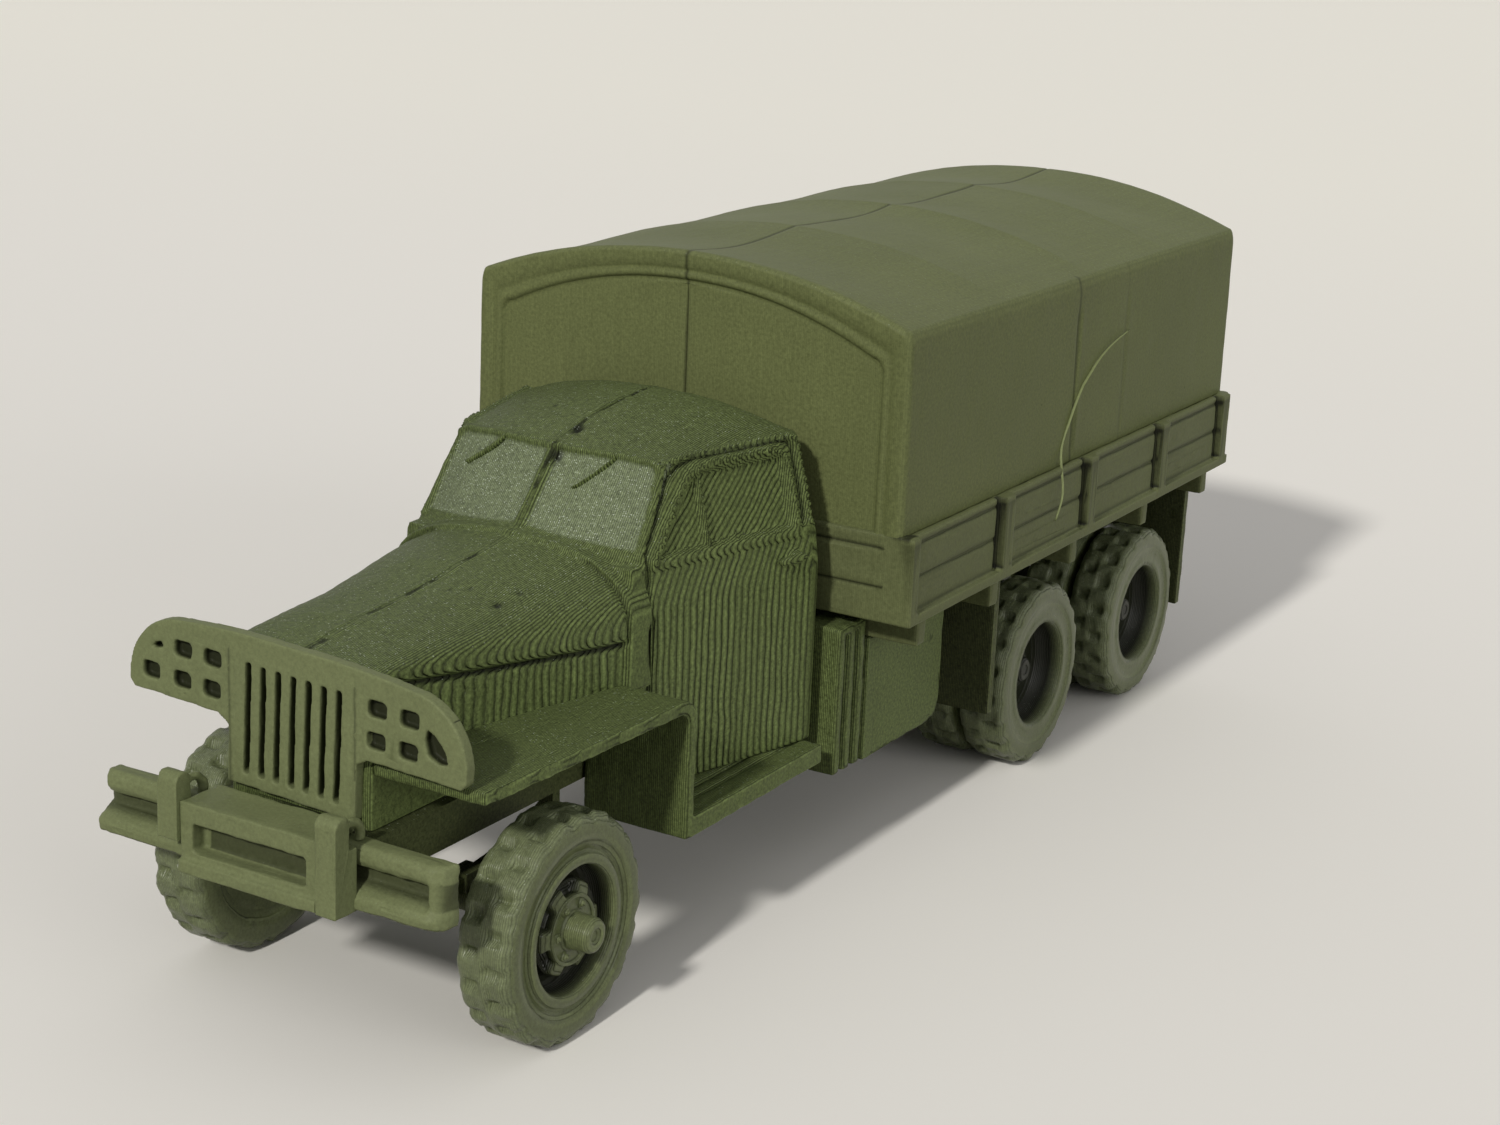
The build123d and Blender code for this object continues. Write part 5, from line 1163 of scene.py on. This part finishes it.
# the other printed solids, softened
frontParts = {
    "guardLean": 0.04, "slotField": (4.6, 17.4, 25.0), "holeField": (5.9, 12.3, 21.0, 24.8), "holeShade": 0.92,
    "panelEdge": (5.0, 16.2, 25.2), "panelLineShade": 0.5, "hollowShade": 0.62, "slotShade": 0.66,
    "fenderStart": -8.0, "fenderSweep": 0.5, "lugFoot": 13.8,
}
bed = {
    "grooves": ((26.45, 0.2, 0.55), (23.9, 0.2, 0.45), (21.55, 0.14, 0.5)),      # level, width, painted shade
    "stakes": (0.255, 0.507, 0.75, 0.977), "gapAhead": 1.2, "gapShade": 0.9,
    "boardLines": (23.1, 26.05, 27.2), "boardHalf": 17.6,
}


def trimFender(points):
    # the right fender's front edge runs back towards its outer corner
    front = frontParts["fenderStart"] + frontParts["fenderSweep"] * (np.abs(points[:, 0]) - 6.0) + frontAxleY
    ahead = (points[:, 2] > 19.0) & (points[:, 1] < front)
    points[ahead, 1] = front[ahead]
    return points


def liftLug(points):
    # the right lug ends on the bumper's top lip
    low = (points[:, 0] < 0) & (points[:, 2] < frontParts["lugFoot"])
    points[low, 2] = frontParts["lugFoot"]
    return points


def guardMarks(points, normals):
    # painted shade inside the holes and slots, and in the fine lines that part the panel from its wings
    level = points[:, 2] + points[:, 0] * frontParts["guardLean"]
    x = np.abs(points[:, 0])
    half, slotLow, slotHigh = frontParts["slotField"]
    near, far, holeLow, holeHigh = frontParts["holeField"]
    edge, edgeLow, edgeHigh = frontParts["panelEdge"]
    slots = (x < half) & (level > slotLow) & (level < slotHigh)
    holes = (x > near) & (x < far) & (level > holeLow) & (level < holeHigh)
    depth = smoothStep(0.12, 0.4, points[:, 1] - points[:, 1].min())
    lines = np.exp(-((x - edge) / 0.1) ** 2) * (normals[:, 1] < -0.8) * (level > edgeLow) * (level < edgeHigh)
    return depth * frontParts["holeShade"] * (slots | holes) + frontParts["panelLineShade"] * lines


def bumperMarks(points, normals):
    # painted shade in the hollow between the lips and on the faces under the bottom lip
    depth = points[:, 1] - points[:, 1].min()
    inside = (points[:, 2] > 12.95) & (points[:, 2] < 14.75) & (np.abs(points[:, 0]) > 4.4)
    return (frontParts["hollowShade"] * smoothStep(0.5, 1.2, depth) * inside
        + 0.5 * (points[:, 2] < 12.3) * (normals[:, 2] < -0.5))


def winchMarks(points, normals):
    # painted shade inside the slot
    depth = points[:, 1] - points[:, 1].min()
    slotted = (points[:, 0] > -4.05) & (points[:, 0] < 5.5) & (points[:, 2] > 13.3) & (points[:, 2] < 15.25)
    return frontParts["slotShade"] * smoothStep(0.3, 0.75, depth) * slotted


def bedMarks(points, normals):
    # painted shade in the plank grooves, the gaps ahead of the stakes, the fine lines on the front board and
    # the corner notch
    x, z, station = np.abs(points[:, 0]), points[:, 2], points[:, 1] - frontAxleY
    side = (x > 19.1) & (z < 27.3)
    shade = side * sum(dark * np.exp(-((z - level) / width) ** 2) for level, width, dark in bed["grooves"])
    for share in bed["stakes"]:
        gap = cover["front"] + cover["length"] * share - bed["gapAhead"]
        shade += bed["gapShade"] * side * (z > 21.4) * np.exp(-((station - gap) / 0.45) ** 4)
    board = (station < 34.4) & (normals[:, 1] < -0.5)
    for lineZ in bed["boardLines"]:
        shade += board * (x < bed["boardHalf"]) * 0.9 * np.exp(-((z - lineZ) / 0.11) ** 2)
    return shade + (station < 35) * (x > 18.0) * (x < 19.7) * 0.9 * np.exp(-((z - 27.05) / 0.18) ** 2)


def blockForm(low, high, tilt=0.0):
    corners = [(x, y, z - x * tilt) for x in (low[0], high[0]) for y in (low[1], high[1])
        for z in (low[2], high[2])]
    sides = [(0, 1, 3, 2), (4, 6, 7, 5), (0, 4, 5, 1), (2, 3, 7, 6), (0, 2, 6, 4), (1, 5, 7, 3)]
    return np.array(corners), sides


def bumperForms():
    # two wings with a round top lip and a bottom lip that stands forward; only the left end is closed
    co, _ = readSolid("front_bumper")
    front, rear = co[:, 1].min(), co[:, 1].max()
    forms = [blockForm((-4.5, front + 1.0, 11.9), (4.5, rear, 15.7))]
    lips = {
        "top": ((0.45, 14.5), (0.2, 14.9), (0.25, 15.5), (0.6, 15.85), (9, 15.85), (9, 14.4)),
        "web": ((1.2, 13.1), (1.2, 14.8), (9, 14.8), (9, 13.1)),
        "bottom": ((0.1, 11.75), (-0.25, 11.95), (-0.32, 12.5), (-0.1, 12.85), (0.9, 13.4), (9, 13.4),
            (9, 11.75)),
        "end": ((0.12, 12.9), (0.12, 14.9), (9, 14.9), (9, 12.9)),
    }
    for side, reach, curve in ((1, 13.45, 1.5), (-1, 14.2, 0.3)):
        for lip, outline in lips.items():
            if lip == "end" and side < 0:
                continue
            stop = reach - (0.35 if side < 0 and lip == "top" else 0)
            rows = []
            for x in np.linspace(12.3 if lip == "end" else 4.0, stop, 30):
                over = max(0.0, x - (stop - curve))
                back = curve - math.sqrt(max(curve ** 2 - over ** 2, 0))
                rows.append(np.array([(side * x, min(front + back + y, rear if y > 5 else rear - 0.2), z)
                    for y, z in outline]))
            forms.append(loftRows(rows, True))
    return forms


def guardForms():
    # the wings' holes are blind: a thin wall closes them at the back
    solid = readSolid("radiator_guard")
    rear = solid[0][:, 1].max()
    walls = ((-12.1, -5.8), (5.8, 12.1))
    return [solid] + [blockForm((low, rear - 0.2, 21.2), (high, rear + 0.05, 24.5), 0.04)
        for low, high in walls]


softSolids = (
    # node, name, plastic, voxel, share of faces kept, unevenness; * is left, then right
    ("radiator_guard", "printedGuard", "front", 0.11, 0.5, 0.035),
    ("front_bumper", "printedBumper", "front", 0.13, 0.5, 0.09),
    ("winch_frame", "printedWinch", "front", 0.13, 0.5, 0.07),
    ("tow_lugs", "printedLugs", "front", 0.1, 0.4, 0.08),
    ("fender_*", "printedFender_*", "body", 0.16, 0.38, 0.045),
    ("battery_box_*", "printedBox_*", "body", 0.16, 0.3, 0.05),
    ("fuel_tank_*", "printedTank_*", "body", 0.2, 0.2, 0.05),
    ("bed_*_half", "printedBed_*", "bed", 0.18, 0.2, 0.04),
    ("mud_flaps", "printedFlaps", "chassis", 0.16, 0.15, 0.05),
    ("tail_lamps", "printedTail", "chassis", 0.12, 0.8, 0.06),
)
reshaped = {"fender_right": trimFender, "tow_lugs": liftLug}
ownForms = {"front_bumper": bumperForms, "radiator_guard": guardForms}
marked = {"radiator_guard": guardMarks, "front_bumper": bumperMarks, "winch_frame": winchMarks,
    "bed_left_half": bedMarks, "bed_right_half": bedMarks}


def softenSolid(nodeName, name, plasticName, voxel, keep, rough):
    if nodeName in ownForms:
        forms = ownForms[nodeName]()
    else:
        points, faces = readSolid(nodeName)
        forms = [(reshaped[nodeName](points.copy()) if nodeName in reshaped else points, faces)]
    mesh = meltForms(forms, voxel, keep=keep)
    co, normals = meshArrays(mesh)
    seed = len(name)
    points = (co + normals * (printNoise(co, 1.3, rough, seed)
        + printNoise(co, 0.45, rough * 0.6, seed + 4))[:, None])
    marks = {"paintedShade": marked[nodeName](co, normals)} if nodeName in marked else None
    setPoints(mesh, points)
    addPiece(name, mesh, plasticName, "chassis", nodeName, marks=marks)


for nodeName, name, *settings in softSolids:
    for side in (("left", "right") if "*" in nodeName else ("",)):
        softenSolid(nodeName.replace("*", side), name.replace("*", side), *settings)
print("solids softened")
